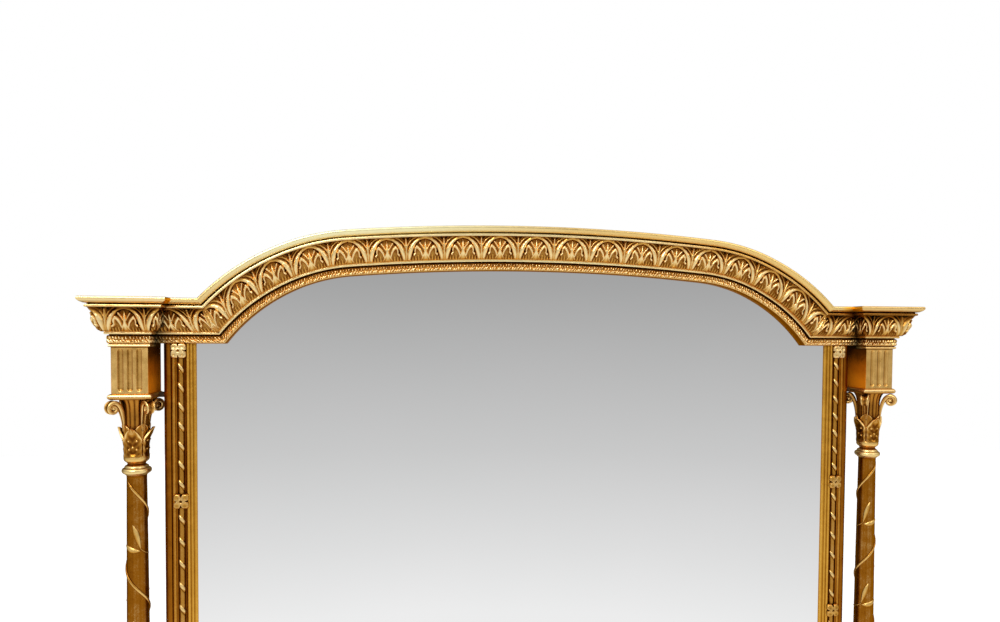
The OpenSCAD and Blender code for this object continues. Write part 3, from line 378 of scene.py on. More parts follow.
def shape(name, tubes, finish, **marks):
    """One piece from closed tubes, each an array (rings, points round, 3) in millimetres.
    Doubles are merged and the faces turned outward. marks are point values for the finish."""
    counts = np.cumsum([0] + [t.shape[0] * t.shape[1] for t in tubes])
    points = np.concatenate([t.reshape(-1, 3) for t in tubes]) * 0.001
    faces = np.concatenate([tube_faces(*t.shape[:2]) + start for t, start in zip(tubes, counts)])
    mesh = bpy.data.meshes.new(name)
    mesh.vertices.add(len(points))
    mesh.vertices.foreach_set("co", points.astype(np.float32).ravel())
    mesh.loops.add(faces.size)
    mesh.loops.foreach_set("vertex_index", faces.astype(np.int32).ravel())
    mesh.polygons.add(len(faces))
    mesh.polygons.foreach_set("loop_start", np.arange(0, faces.size, 4, dtype=np.int32))
    mesh.update(calc_edges=True)
    for label, values in marks.items():
        flat = np.concatenate([np.asarray(v, np.float32).ravel() for v in values])
        mesh.attributes.new(label, "FLOAT", "POINT").data.foreach_set("value", flat)
    work = bmesh.new()
    work.from_mesh(mesh)
    bmesh.ops.remove_doubles(work, verts=work.verts, dist=2e-6)
    bmesh.ops.dissolve_degenerate(work, edges=work.edges, dist=1e-7)
    bmesh.ops.recalc_face_normals(work, faces=work.faces)
    work.to_mesh(mesh)
    work.free()
    mesh.polygons.foreach_set("use_smooth", np.ones(len(mesh.polygons), bool))
    mesh.set_sharp_from_angle(angle=SHARP_ANGLE)
    mesh.materials.append(finish)
    made = bpy.data.objects.new(name, mesh)
    bpy.context.scene.collection.objects.link(made)
    return made


def fitted(piece, node):
    """Sets a piece on the mirror's one body, in the place of a plain node."""
    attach(piece, "root")
    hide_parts(node)


def points_at(x, y, z):
    """The points of a surface from arrays of x, y and z, each spread over the whole grid."""
    return np.stack(np.broadcast_arrays(x, y, z), -1)


def eased(points, radius=0.35, step=2.5):
    """A profile with each corner cut back by a small radius and long spans divided. Columns
    after the first two, such as a finish mark, are carried along."""
    points = np.asarray(points, float)
    ahead = np.diff(points, axis=0)
    length = np.linalg.norm(ahead[:, :2], axis=1, keepdims=True)
    reach = np.minimum(radius, 0.4 * length)
    unit = ahead / length
    rounded = np.empty((2 * len(points) - 2, points.shape[1]))
    rounded[0::2] = points[:-1] + unit * reach
    rounded[1::2] = points[1:] - unit * reach
    rounded[0], rounded[-1] = points[0], points[-1]
    gaps = np.linalg.norm(np.diff(rounded[:, :2], axis=0), axis=1)
    parts = np.maximum(1, np.ceil(gaps / step)).astype(int)
    place = np.concatenate([k + np.arange(p) / p for k, p in enumerate(parts)] + [[len(parts)]])
    return np.stack([np.interp(place, np.arange(len(rounded)), rounded[:, c])
                     for c in range(points.shape[1])], 1)


SIDES = ((-1, "left"), (1, "right"))
SPRING_Z = 1183.0
BASE_H = 90.0
SIGHT_FOOT_Z = 107.0
HALF_SIGHT = 610.0
ROOM_Y = 54.5
CARCASS_FRONT = 31.5

# Profiles as (out from the plate, depth from the wall, how bright the leaf is: rubbed, with painted
# highlights on the rounds and painted shade in the quirks)
SIGHT_PROFILE = [(0, 31.5, 0.4), (0, 32.6, 0.75), (1.6, 34.9, 0.85), (4.4, 36.3, 0.45),
                 (5.2, 36.5, 0.1), (6.0, 38.4, 0.75), (7.0, 38.9, 0.8), (9.2, 39.1, 0.4),
                 (10.0, 39.2, 0.05), (10.9, 41.0, 0.7), (12.2, 41.5, 0.85), (14.2, 41.5, 0.6),
                 (15.4, 40.4, 0.4), (16, 36.5, 0.2), (17, 36.0, 0.2), (17, 31.5, 0.0)]
STILE_PROFILE = [(17, 31.5, 0.2), (17, 36, 0.2), (31.5, 36, 0.25), (31.5, 39.3, 0.4),
                 (33.8, 39.6, 0.5), (34.0, 41.2, 0.7), (35.2, 42.4, 0.8), (37.0, 42.7, 0.7),
                 (38.8, 42.2, 0.45), (40.0, 40.8, 0.25), (40.2, 37.2, 0.1), (41.2, 37.0, 0.2),
                 (41.8, 39.0, 0.45), (45.5, 39.2, 0.35), (49.5, 38.8, 0.25), (50.2, 34.6, 0.1),
                 (54.4, 33.2, 0.12), (55, 30.5, 0.0), (55, 27.5, 0.0), (50, 27.5, 0.0),
                 (50, 31.5, 0.0)]


def upright_run(side, profile, head, foot):
    """A profile carried down a stile, from a level head to a foot whose height may change with
    the distance out, as at a mitre."""
    share = np.linspace(0, 1, 50)[:, None]
    out, depth, mark = profile.T
    points = points_at(side * (HALF_SIGHT + out), ROOM_Y - depth, head + (foot - head) * share)
    return capped(points), ends_repeated(mark + 0 * share)


sight = eased(SIGHT_PROFILE, radius=0.25)
stile = eased(STILE_PROFILE, radius=0.25)
sight_finish = gilding("sight_leaf", (0.93, 0.52, 0.085), (0.60, 0.26, 0.022), (0.20, 0.055, 0.003),
                       raised="raised", patchy=0.35, crevice_dirt_and_shade=0.5)
stile_finish = gilding("stile_leaf", (0.75, 0.385, 0.060), (0.41, 0.14, 0.009),
                       (0.14, 0.028, 0.001), raised="raised", patchy=0.4, crevice_dirt_and_shade=0.35)
for side, word in SIDES:
    points, raised = upright_run(side, sight, SPRING_Z, SIGHT_FOOT_Z - sight[:, 0])
    inner = shape("sight_steps_" + word, [points], sight_finish, raised=[raised])
    fitted(inner, "sight_moulding_" + word)
    points, raised = upright_run(side, stile, SPRING_Z, BASE_H)
    outer = shape("stile_channel_" + word, [points], stile_finish, raised=[raised])
    fitted(outer, "stile_moulding_" + word)

share = np.linspace(-1, 1, 60)[:, None]
out, depth, mark = sight.T
points = points_at((HALF_SIGHT + out) * share, ROOM_Y - depth, SIGHT_FOOT_Z - out)
foot_steps = shape("sight_steps_bottom", [capped(points)], sight_finish,
                   raised=[ends_repeated(mark + 0 * share)])
fitted(foot_steps, "sight_moulding_bottom")

# ---- Ribbon sticks ----
# A half-round stick with a ribbon wound round it lies in each stile's channel, in four lengths
# between the rosettes. It is pressed composition, bedded in glue and gilded.

STILE_H = 1093.0
CHANNEL_FLOOR = 36.0
STICK_X = 635.0
STICK_R = 5.25
ROSETTE_W = 25.0
ROSETTE_N = 5
RIBBON_TURNS = (7, 6, 6, 6)
RIBBON_SLANT = np.radians(43.0)
SLIP_HALF_L, SLIP_HALF_W, SLIP_H = 12.0, 3.7, 1.6
ROSETTE_Z = (SPRING_Z - ROSETTE_W / 2
             - np.arange(ROSETTE_N) * (STILE_H - ROSETTE_W) / (ROSETTE_N - 1))


def hump(off, width):
    """A smooth hump: 1 at nought, and falling as e to the minus (off / width) squared."""
    return np.exp(-(off / width) ** 2)


def held(value):
    """A value held between 0 and 1."""
    return np.clip(value, 0, 1)


def ribbon_stick(side, top, foot, turns):
    """A half round of the stick's radius, raised where a slip of ribbon crosses it. Each slip is
    a lens along a slanting axis, as high as the root of (1 - along squared) times (1 - across
    squared), with a painted highlight along its upper side, and a cut line under it that is
    darkened as painted shadow."""
    z = np.linspace(top, foot, int((top - foot) / 0.8))
    around = np.radians(np.linspace(-90, 90, 33))
    z_grid, a_grid = np.meshgrid(z, around, indexing="ij")
    pitch = (top - foot) / turns
    down = ((top - z_grid) / pitch % 1.0 - 0.5) * pitch
    over = STICK_R * a_grid * side
    along = over * np.sin(RIBBON_SLANT) + down * np.cos(RIBBON_SLANT)
    across = over * np.cos(RIBBON_SLANT) - down * np.sin(RIBBON_SLANT)
    taper = SLIP_HALF_W - 0.14 * np.abs(along)
    slip = held(1 - (along / SLIP_HALF_L) ** 2) * held(1 - (across / taper) ** 2)
    shadowed_cut = hump(across + 4.2, 0.7) * held(1 - (along / 15) ** 4)
    # A painted highlight brightens each slip's upper side; painted shadow darkens the cut line
    painted_glint = hump(across - 0.8, 1.8)
    radius = STICK_R + SLIP_H * np.sqrt(slip) - 0.7 * shadowed_cut - 0.25
    raised = 0.54 + np.sqrt(slip) * (0.2 + 0.5 * painted_glint) - 0.5 * shadowed_cut
    x = STICK_X + radius * np.sin(a_grid)
    y = ROOM_Y - CHANNEL_FLOOR - radius * np.cos(a_grid)
    return capped(points_at(side * x, y, z_grid)), ends_repeated(raised)


ribbon_finish = gilding("ribbon_leaf", (0.98, 0.70, 0.28), (0.52, 0.24, 0.030), (0.13, 0.03, 0.002),
                        raised="raised")
for side, word in SIDES:
    made = [ribbon_stick(side, upper - ROSETTE_W / 2, lower + ROSETTE_W / 2, turns)
            for upper, lower, turns in zip(ROSETTE_Z[:-1], ROSETTE_Z[1:], RIBBON_TURNS)]
    sticks = shape("ribbon_stick_" + word, [m[0] for m in made], ribbon_finish,
                   raised=[m[1] for m in made])
    fitted(sticks, "ribbon_twist_" + word)

# ---- Rosettes ----
# Small square flowers with four square petals and a pierced eye, cast in composition and
# pinned over the channel where two lengths of stick meet.

ROSETTE_BACK = 42.8
PETAL_REACH, PETAL_H = 13.3, 3.9
PETAL_MIDDLE, PETAL_DISH = 7.0, 3.0
# The top flowers sit a little outward of the stick; the others are browner
TOP_SHIFT = 3.0
ROSETTE_TONES = (0.0, 0.28, 0.32, 0.28, 0.30)


def full_turn(count):
    """The angles of so many points round a full turn, spread across a grid."""
    return np.radians(np.linspace(0, 360, count, endpoint=False))[None, :]


def rosette(side, x, z, notch):
    """A flower on a polar grid. Its outline is a rounded square with a notch, as wide as given in
    degrees, between petals; each petal is a flat dome with a dished middle, and a groove parts
    it from the next."""
    share = np.linspace(0, 1, 24)[:, None]
    turn = full_turn(104)
    square = (np.abs(np.cos(turn)) ** 9 + np.abs(np.sin(turn)) ** 9) ** (-1 / 9)
    from_axis = np.abs((np.degrees(turn) + 45) % 90 - 45)
    outline = PETAL_REACH * np.minimum(square, 1.24)
    outline = outline * (1 - 0.045 * notch * hump(from_axis, notch))
    r = share * outline
    sx, sz = r * np.cos(turn), r * np.sin(turn)
    groove = hump(np.minimum(np.abs(sx), np.abs(sz)), 0.55) * held((r - 6.5) / 3)
    off_x, off_z = [(np.abs(v) - PETAL_MIDDLE) / PETAL_DISH for v in (sx, sz)]
    dish = np.exp(-(off_x ** 2 + off_z ** 2))
    eye = hump(r - 3.3, 0.8)
    hole = np.exp(-((r / 2.0) ** 4))
    bud = hump(r, 0.9)
    high = PETAL_H * (1 - share ** 12) + 0.3 - 1.4 * groove - 0.9 * dish
    high = high + 0.4 * eye - 1.8 * hole + 1.6 * bud
    front = points_at(side * (x + sx), ROOM_Y - ROSETTE_BACK - high, z + sz)
    raised = 0.95 - 0.9 * groove - 0.3 * dish - 0.95 * hole + 0.7 * bud - 0.2 * share ** 10
    raised = np.clip(raised, 0, 1.1)
    back = front[-1:].copy()
    back[..., 1] = ROOM_Y - ROSETTE_BACK
    return (capped(np.concatenate([front, back])),
            ends_repeated(np.concatenate([raised, raised[-1:]])))


rosette_finish = gilding("rosette_leaf", (1.0, 0.74, 0.34), (0.62, 0.31, 0.05),
                         (0.07, 0.022, 0.003), raised="raised")
for side, word in SIDES:
    made = [rosette(side, STICK_X + TOP_SHIFT, ROSETTE_Z[0], 5.5)]
    made += [rosette(side, STICK_X, z, 9.0) for z in ROSETTE_Z[1:]]
    flowers = shape("rosette_row_" + word, [m[0] for m in made], rosette_finish,
                    raised=[m[1] - tone for m, tone in zip(made, ROSETTE_TONES)])
    fitted(flowers, "rosettes_" + word)

# ---- Small-leaf band ----
# A narrow run of little slanting leaves beside the plate, with a plain edge, in five lengths
# that meet at the arch's joints. Composition pressed from a long mould and laid on the pine.

CROWN_R = 3740.0
SHOULDER_R = 297.0
ARCH_RISE = 140.0
BAND_W = 14.5
MAIN_FACE = 40.0
BLOCK_IN = 679.0
SHOULDER_X = HALF_SIGHT - SHOULDER_R
CROWN_Z = ARCH_RISE - CROWN_R
SHOULDER_Z = CROWN_Z + np.sqrt((CROWN_R - SHOULDER_R) ** 2 - SHOULDER_X ** 2)
CROWN_HALF = np.arcsin(SHOULDER_X / (CROWN_R - SHOULDER_R))
CROWN_LEAVES = 5
SHOULDER_LEAVES = 4
RETURN_LEAVES = 1.5
# The shoulders are a little fuller than a true arc next to the mitre
FULLER = {-1: 3.0, 1: 5.0}


def corner_x(side, out):
    """Where a shoulder, moved out, meets the level line moved up by as much."""
    return SHOULDER_X + np.sqrt((SHOULDER_R + FULLER[side] + out) ** 2 - (out - SHOULDER_Z) ** 2)


def on_crown(side, n, out, depth):
    """A point of the crown, which needs no side. n counts leaves from the middle; out is the
    distance from the plate's edge and depth the distance from the wall."""
    angle = np.pi / 2 - CROWN_HALF * n / CROWN_LEAVES
    return points_at((CROWN_R + out) * np.cos(angle), ROOM_Y - depth,
                     SPRING_Z + CROWN_Z + (CROWN_R + out) * np.sin(angle))


def on_shoulder(side, n, out, depth):
    """A point of a shoulder. n counts leaves from the mitre, where it is 0, to the crown, so the
    leaves lean from the mitre's slope to the radius. The extra fullness fades out within the
    first two leaves or so."""
    foot = np.arctan2(out - SHOULDER_Z, corner_x(side, out) - SHOULDER_X)
    angle = foot + (np.pi / 2 - CROWN_HALF - foot) * n / SHOULDER_LEAVES
    radius = SHOULDER_R + out + FULLER[side] * held(1 - n / 2.2) ** 1.5
    return points_at(side * (SHOULDER_X + radius * np.cos(angle)), ROOM_Y - depth,
                     SPRING_Z + SHOULDER_Z + radius * np.sin(angle))


def on_return(side, n, out, depth):
    """A point of a level return. n counts leaves from the mitre to the block."""
    start = corner_x(side, out)
    return points_at(side * (start + (BLOCK_IN - start) * n / RETURN_LEAVES), ROOM_Y - depth,
                     SPRING_Z + out)


def strokes_relief(strokes, across, up):
    """Relief drawn with strokes. Each stroke is a path of (across, up, half width, height); a
    point's height is the height of its nearest place on the path times one minus the square of
    its distance in half widths, and the highest stroke counts."""
    total = np.zeros(np.broadcast(across, up).shape)
    for path in strokes:
        path = np.asarray(path, float)
        for a, b in zip(path[:-1], path[1:]):
            run = b[:2] - a[:2]
            t = held(((across - a[0]) * run[0] + (up - a[1]) * run[1]) / (run @ run))
            near = np.hypot(across - a[0] - t * run[0], up - a[1] - t * run[1])
            wide = a[2] + t * (b[2] - a[2])
            tall = a[3] + t * (b[3] - a[3])
            total = np.maximum(total, tall * (1 - (near / wide) ** 2))
    return total


def from_table(table, u, v):
    """Reads a table of heights at shares u and v, from 0 to 1, between its entries."""
    rows, columns = table.shape
    x = held(u) * (rows - 1)
    y = held(v) * (columns - 1)
    i = np.minimum(x.astype(int), rows - 2)
    j = np.minimum(y.astype(int), columns - 2)
    x, y = x - i, y - j
    return ((table[i, j] * (1 - x) + table[i + 1, j] * x) * (1 - y)
            + (table[i, j + 1] * (1 - x) + table[i + 1, j + 1] * x) * y)


def profile_parts(profile):
    """A profile's distances out and proud, and the normal of each: its slope a quarter turned."""
    slope = np.gradient(profile, axis=0)
    normal = np.stack([-slope[:, 1], slope[:, 0]], 1)
    normal /= np.linalg.norm(normal, axis=1, keepdims=True) + 1e-9
    return profile[:, 0], profile[:, 1], normal


def carved_run(place, side, stations, profile, face, back, relief, second=None):
    """A moulding carried along a run: its profile of (out, proud), raised along its own normal
    by the relief, and closed by a flat back. It has the relief's mark and a second one, such
    as soot with painted shade."""
    out, proud, normal = profile_parts(profile)
    n = stations[:, None]
    high, raised = relief(n, out[None, :])
    front = place(side, n, out + normal[:, 0] * high, face + proud + normal[:, 1] * high)
    rear = [place(side, n, out[k], np.array([[back]])) for k in (-1, 0)]
    points = np.concatenate([front] + [r.reshape(len(n), 1, 3) for r in rear], axis=1)
    raised = np.concatenate([raised, raised[:, -1:], raised[:, :1]], axis=1)
    other = np.zeros_like(raised) if second is None else np.concatenate(
        [second(n, out[None, :])] + [second(n, out[None, [k]]) for k in (-1, 0)], axis=1)
    return capped(points), ends_repeated(raised), ends_repeated(other)


def corner_soot(n, out):
    """Soot and painted shade on a return, deepest where it runs into the block."""
    return 0.78 * hump(RETURN_LEAVES - n, 0.24) + 0 * out


LEAF_PITCH = 69.0
# The small leaves of one stretch, in two rows, and how closely the band is divided
PEBBLES = 27
UPPER_ROW = 5.6
BAND_STEP = 0.7
pebbles = np.random.default_rng(5)
little_strokes = []
for k in range(-4, PEBBLES + 4):
    middle = (k + pebbles.uniform(0.2, 0.8)) * LEAF_PITCH / PEBBLES
    lean, size = pebbles.uniform(0.2, 1.9), pebbles.uniform(1.6, 2.2)
    foot = 3.0 + pebbles.uniform(-0.5, 0.8)
    if k % 2:
        lean, size, foot = 0.3 * lean, 0.75 * size, foot + UPPER_ROW
    little_strokes.append([(middle - lean, foot, size, 2.9),
                           (middle + lean, foot + 2.6, size, 2.4)])
little_table = strokes_relief(little_strokes, np.linspace(0, LEAF_PITCH, 200)[:, None],
                              np.linspace(0, BAND_W, 60)[None, :])


def little_relief(n, out):
    """The band's relief: a stretch of small leaves, no two alike, repeats along the run. Its
    plain edge is bright, and darkened as painted shade where it turns down to the plate."""
    high = from_table(little_table, n % 1.0 + 0 * out, out / BAND_W + 0 * n)
    inside = held((out - 1.0) / 0.8) * held((14.0 - out) / 0.8)
    # Painted shade: the leaves darken outward under the fillet, and a dark line runs where the band
    # meets the plate
    raised = np.clip(0.40 + 0.42 * high - 0.045 * np.clip(out - 5.5, 0, 8), -0.2, 1.1)
    raised = np.where(out < 1.3, 0.8 - 0.9 * hump(out, 0.35), raised)
    return (high - 1.0) * inside, raised + 0 * n


BAND_PROUD = 5.0
band_out = np.arange(1.6, 13.9, 0.55)
band_profile = np.concatenate([
    eased([(0, BAND_PROUD - 2.5), (1.2, BAND_PROUD - 1.2)]),
    np.stack([band_out, np.full_like(band_out, BAND_PROUD - 0.6)], 1),
    eased([(14.1, BAND_PROUD - 1.6), (BAND_W, BAND_PROUD - 2.2)])])
band_finish = gilding("band_leaf", (1.0, 0.74, 0.34), (0.66, 0.33, 0.06), (0.18, 0.055, 0.004),
                      raised="raised", soot="soot", crevice_dirt_and_shade=0.35)
RUNS = [("crown", 0, on_crown, (-CROWN_LEAVES, CROWN_LEAVES), None),
        ("shoulder_left", -1, on_shoulder, (0, SHOULDER_LEAVES), None),
        ("shoulder_right", 1, on_shoulder, (0, SHOULDER_LEAVES), None),
        ("return_left", -1, on_return, (0, RETURN_LEAVES), corner_soot),
        ("return_right", 1, on_return, (0, RETURN_LEAVES), corner_soot)]
for word, side, place, (first, last), soot in RUNS:
    stations = np.linspace(first, last, int((last - first) * LEAF_PITCH / BAND_STEP))
    points, raised, dark = carved_run(place, side, stations, band_profile, MAIN_FACE, CARCASS_FRONT,
                                      little_relief, soot)
    band = shape("leaf_band_" + word, [points], band_finish, raised=[raised], soot=[dark])
    fitted(band, "band_" + word)

# ---- Carved frieze ----
# The cyma above the band, between a fillet and a lip, carved with a row of arched leaves. Each
# has a broad rim, a forked stem with fingers and two hooked leaflets; darts stand between them.

FRIEZE_FOOT = 16.0
CYMA_FOOT = 20.5
CYMA_H = 41.0
CYMA_TOP = CYMA_FOOT + CYMA_H
BELLY = CYMA_FOOT + 0.66 * CYMA_H
LIP_TOP = 65.9
FASCIA_FOOT = 67.5
FILLET_PROUD, BELLY_PROUD, LIP_PROUD = 8.0, 22.0, 29.0
GROUND = 2.6
FRIEZE_STEP = 0.8
# Half a leaf as strokes of (across, up, half width, height). In order: the ground, the rim, the
# line outside it, the dart, the stem, its fork, a finger, the hooked leaflet and three blades
LEAF_STROKES = [
    [(0, 0, 32, 1.0), (0, 14, 32, 1.2), (0, 28, 20, 1.2)],
    [(30.4, 0, 4.0, 4.0), (29.2, 9, 5.4, 4.9), (26.6, 18, 6.2, 5.7), (23.0, 26, 5.8, 5.7),
     (18.0, 32, 4.8, 5.0), (10.4, 37.0, 3.6, 4.2), (0, 39.2, 3.0, 3.6)],
    [(33.6, 16, 0.9, 2.2), (31.8, 26, 1.8, 3.2), (27.8, 32.7, 2.2, 3.4), (21.5, 37.8, 2.0, 3.0),
     (13, 40.4, 1.4, 2.2)],
    [(34.5, 0, 3.0, 3.2), (34.5, 20, 3.0, 3.9), (34.5, 30, 3.0, 4.2), (34.5, 37.0, 2.0, 3.6)],
    [(0, 0, 7.5, 2.8), (0, 8, 5.6, 4.2), (0, 16, 4.2, 5.8), (0, 26, 3.2, 5.6), (0, 34.6, 1.6, 4.0)],
    [(0.8, 15, 2.6, 5.0), (4.2, 8, 2.6, 4.4), (7.6, 1.5, 2.2, 3.2)],
    [(1.6, 17, 1.7, 3.8), (5.4, 24, 2.2, 4.4), (9.8, 31.0, 2.9, 6.2)],
    [(6.0, 7.5, 2.4, 4.0), (8.0, 15.0, 3.4, 5.2), (11.6, 20.4, 4.0, 6.2), (15.4, 24.4, 4.0, 6.6),
     (18.6, 20.8, 3.4, 6.2), (18.8, 15.6, 2.5, 5.4), (18.2, 12.6, 2.2, 5.0),
     (21.0, 10.0, 3.2, 6.2)],
    [(12.4, 0, 2.5, 3.0), (12.8, 7.0, 1.8, 2.4)],
    [(17.8, 0, 2.5, 3.0), (18.2, 6.0, 1.8, 2.2)],
    [(23.2, 0, 2.3, 3.0), (23.4, 5.0, 1.6, 2.2)]]
# Cut in along the inside of the rim and above its shoulder
LEAF_CUTS = [
    [(23.6, 8.0, 0.7, 1.2), (22.6, 14, 1.0, 2.4), (19.9, 21, 1.1, 2.6), (16.0, 28.0, 1.1, 2.4),
     (11.0, 33.2, 1.0, 2.0), (4.5, 36.4, 0.7, 1.0)],
    [(30.8, 37.0, 1.5, 2.2), (28.2, 39.8, 1.8, 2.6), (24.0, 41.0, 1.1, 1.8)]]
leaf_across = np.linspace(0, LEAF_PITCH / 2, 116)[:, None]
leaf_up = np.linspace(0, CYMA_H, 138)[None, :]
leaf_table = (strokes_relief(LEAF_STROKES, leaf_across, leaf_up)
              - strokes_relief(LEAF_CUTS, leaf_across, leaf_up))


def leaf_relief(n, out):
    """The frieze's relief: one leaf's table, mirrored about its middle and repeated, sunk at
    first to the ground and fading out at the fillet and the lip. The mark follows the height;
    it is darkened with painted shade at the foot, inside the rim's top and in the quirks."""
    share = np.abs(n - np.round(n)) * 2
    up = (out - CYMA_FOOT) / CYMA_H
    inside = (up > 0) & (up < 1)
    high = from_table(leaf_table, share + 0 * up, up + 0 * n)
    fade = held(up / 0.05) * held((1 - up) / 0.03)
    # Painted shade under the belly at the foot, and under the lip inside the rim's top
    shade = 0.16 * held(1 - up / 0.3)
    shade = shade + 0.3 * held((up - 0.72) / 0.2) * (share < 0.75)
    raised = np.where(inside, np.clip(0.06 + high / 5.0 - shade, -0.35, 1.05), 1.1)
    # The quirks are painted dark, as shade
    raised = np.where((out < FRIEZE_FOOT + 0.1) | (out > LIP_TOP + 0.1), -0.35, raised)
    return np.where(inside, (high - GROUND) * fade, 0.0), raised + 0 * n


quarter = np.linspace(0, np.pi / 2, 60)
cyma_out = np.concatenate([BELLY - (BELLY - CYMA_FOOT) * np.cos(quarter),
                           BELLY + (CYMA_TOP - BELLY) * np.sin(quarter[1:])])
cyma_proud = np.concatenate([
    FILLET_PROUD + 1 + (BELLY_PROUD - FILLET_PROUD - 1) * np.sin(quarter),
    LIP_PROUD - (LIP_PROUD - BELLY_PROUD) * np.cos(quarter[1:])])
cyma_length = np.concatenate([[0], np.cumsum(np.hypot(np.diff(cyma_out), np.diff(cyma_proud)))])
cyma_steps = np.linspace(0, cyma_length[-1], 68)
cyma = np.stack([np.interp(cyma_steps, cyma_length, cyma_out),
                 np.interp(cyma_steps, cyma_length, cyma_proud)], 1)
fillet = eased([(BAND_W, BAND_PROUD - 3.4), (FRIEZE_FOOT, BAND_PROUD - 3.4),
                (FRIEZE_FOOT, FILLET_PROUD - 1.2), (FRIEZE_FOOT + 0.7, FILLET_PROUD - 0.2),
                (FRIEZE_FOOT + 2.2, FILLET_PROUD + 0.2), (CYMA_FOOT - 0.7, FILLET_PROUD - 0.2),
                (CYMA_FOOT, FILLET_PROUD - 1.0), cyma[0]])
lip = eased([cyma[-1], (CYMA_TOP, LIP_PROUD + 0.5), (CYMA_TOP + 1.0, LIP_PROUD + 1.2),
             (LIP_TOP - 0.5, LIP_PROUD + 1.0), (LIP_TOP, LIP_PROUD + 0.3),
             (LIP_TOP, LIP_PROUD - 2), (FASCIA_FOOT, LIP_PROUD - 2.6)])
frieze_profile = np.concatenate([fillet[:-1], cyma, lip[1:]])
frieze_finish = gilding("carved_leaf", (1.0, 0.76, 0.36), (0.70, 0.38, 0.08), (0.22, 0.07, 0.006),
                        raised="raised", soot="soot", patchy=0.3, crevice_dirt_and_shade=0.45, warm="warm")
# The right-hand lengths are a little browner, as painted shade
FRIEZE_RIGHT_SHADE = {"shoulder_right": -0.10, "return_right": -0.14}
# The fillet and, less, the lip are painted pale, as painted highlights
frieze_out = np.append(frieze_profile[:, 0], frieze_profile[[-1, 0], 0])
frieze_highlight = np.select([(frieze_out > FRIEZE_FOOT + 0.3) & (frieze_out < CYMA_FOOT - 0.4),
                         frieze_out > CYMA_TOP + 0.4], [-0.6, -0.3], 0.0)


def highlight_share(word, n):
    """How far the edges are painted pale as highlights: most in the middle of the crown."""
    if word == "crown":
        return np.interp(n, [-CROWN_LEAVES, -CROWN_LEAVES / 2, 1.5, CROWN_LEAVES], [0.35, 1, 1, 0])
    return np.full_like(n, 0.35 * (word == "shoulder_left"))


def right_edge_shade(word, n, out):
    """How much darker the lip and the fillet are on the right, more and more along the crown, as
    painted shade.
    """
    share = word.endswith("right")
    if word == "crown":
        share = held((n - 1.5) / (CROWN_LEAVES - 1.5))
    return share * (0.42 * (out > CYMA_TOP) + 0.20 * ((out > FRIEZE_FOOT) & (out < CYMA_FOOT)))


def lip_painted_shade(out):
    """How much painted shade darkens the leaf toward the lip, where the cornice is level."""
    return 0.32 * held((out - CYMA_FOOT - 0.5 * CYMA_H) / (0.3 * CYMA_H))


def shaded_relief(word, n, out):
    """The leaf's relief, with the painted shade of its length and, on the returns, toward the lip.
    """
    high, raised = leaf_relief(n, out)
    raised = raised + FRIEZE_RIGHT_SHADE.get(word, 0) - right_edge_shade(word, n, out)
    return high, raised - lip_painted_shade(out) * word.startswith("return")


for word, side, place, (first, last), soot in RUNS:
    stations = np.linspace(first, last, int((last - first) * LEAF_PITCH / FRIEZE_STEP))
    points, raised, dark = carved_run(
        place, side, stations, frieze_profile, MAIN_FACE, CARCASS_FRONT,
        lambda n, out: shaded_relief(word, n, out), soot)
    frieze = shape("carved_frieze_" + word, [points], frieze_finish, raised=[raised], soot=[dark],
                   warm=[ends_repeated(highlight_share(word, stations)[:, None] * frieze_highlight)])
    fitted(frieze, "frieze_" + word)

# ---- Mitre leaves ----
# A slender leaf bent over each mitre of the frieze hides the joint. It is cast in composition.

MITRE_LEAF_HALF = 8.0


def mitre_leaf(side):
    """A leaf along the mitre: its half width goes as the sine of the way up to the power three
    quarters, and its back lies on the frieze. The surface stands proud by a thin edge, a round
    middle rib and side veins."""
    up = np.linspace(0.02, 0.98, 60)[:, None]
    across = np.linspace(-1, 1, 41)[None, :]
    from_rib = np.abs(across)
    half = MITRE_LEAF_HALF * np.sin(np.pi * up) ** 0.75
    rib = 1.9 * hump(across, 0.15)
    rim = 1.3 * hump(from_rib - 0.8, 0.16)
    vein = 0.5 * np.cos(24 * up - 7 * from_rib)
    high = 1.3 + rib + rim + vein * (1 - from_rib)
    high = high * (1 - from_rib ** 10) * np.sin(np.pi * up) ** 0.3
    line = np.stack([np.interp(up[:, 0], np.linspace(0, 1, len(cyma)), c) for c in cyma.T], 1)
    slope = np.gradient(line, axis=0)
    slope /= np.linalg.norm(slope, axis=1, keepdims=True)

    def skin(lift):
        """The leaf's points where it stands that far off the frieze."""
        out = line[:, :1] - slope[:, 1:] * lift
        depth = MAIN_FACE + line[:, 1:] + slope[:, :1] * lift
        n = from_rib * half / LEAF_PITCH
        return np.where(across[..., None] < 0, on_shoulder(side, n, out, depth),
                        on_return(side, n, out, depth))

    points = np.concatenate([skin(high), skin(np.full_like(high, -1.0))[:, ::-1]], axis=1)
    raised = held(0.05 + high / 3.4)
    return capped(points), ends_repeated(np.concatenate([raised, 0 * raised], axis=1))


made = [mitre_leaf(side) for side in (-1, 1)]
mitre_pair = shape("mitre_leaf_pair", [m[0] for m in made], frieze_finish,
                   raised=[m[1] for m in made], soot=[0 * m[1] for m in made])
fitted(mitre_pair, "mitre_leaves")

# ---- Fascia ----
# The plain crowning fascia, in five lengths, water gilt and burnished. Its lower edge slopes
# back to a dark quirk over the frieze, and its top runs back flat to the wall.

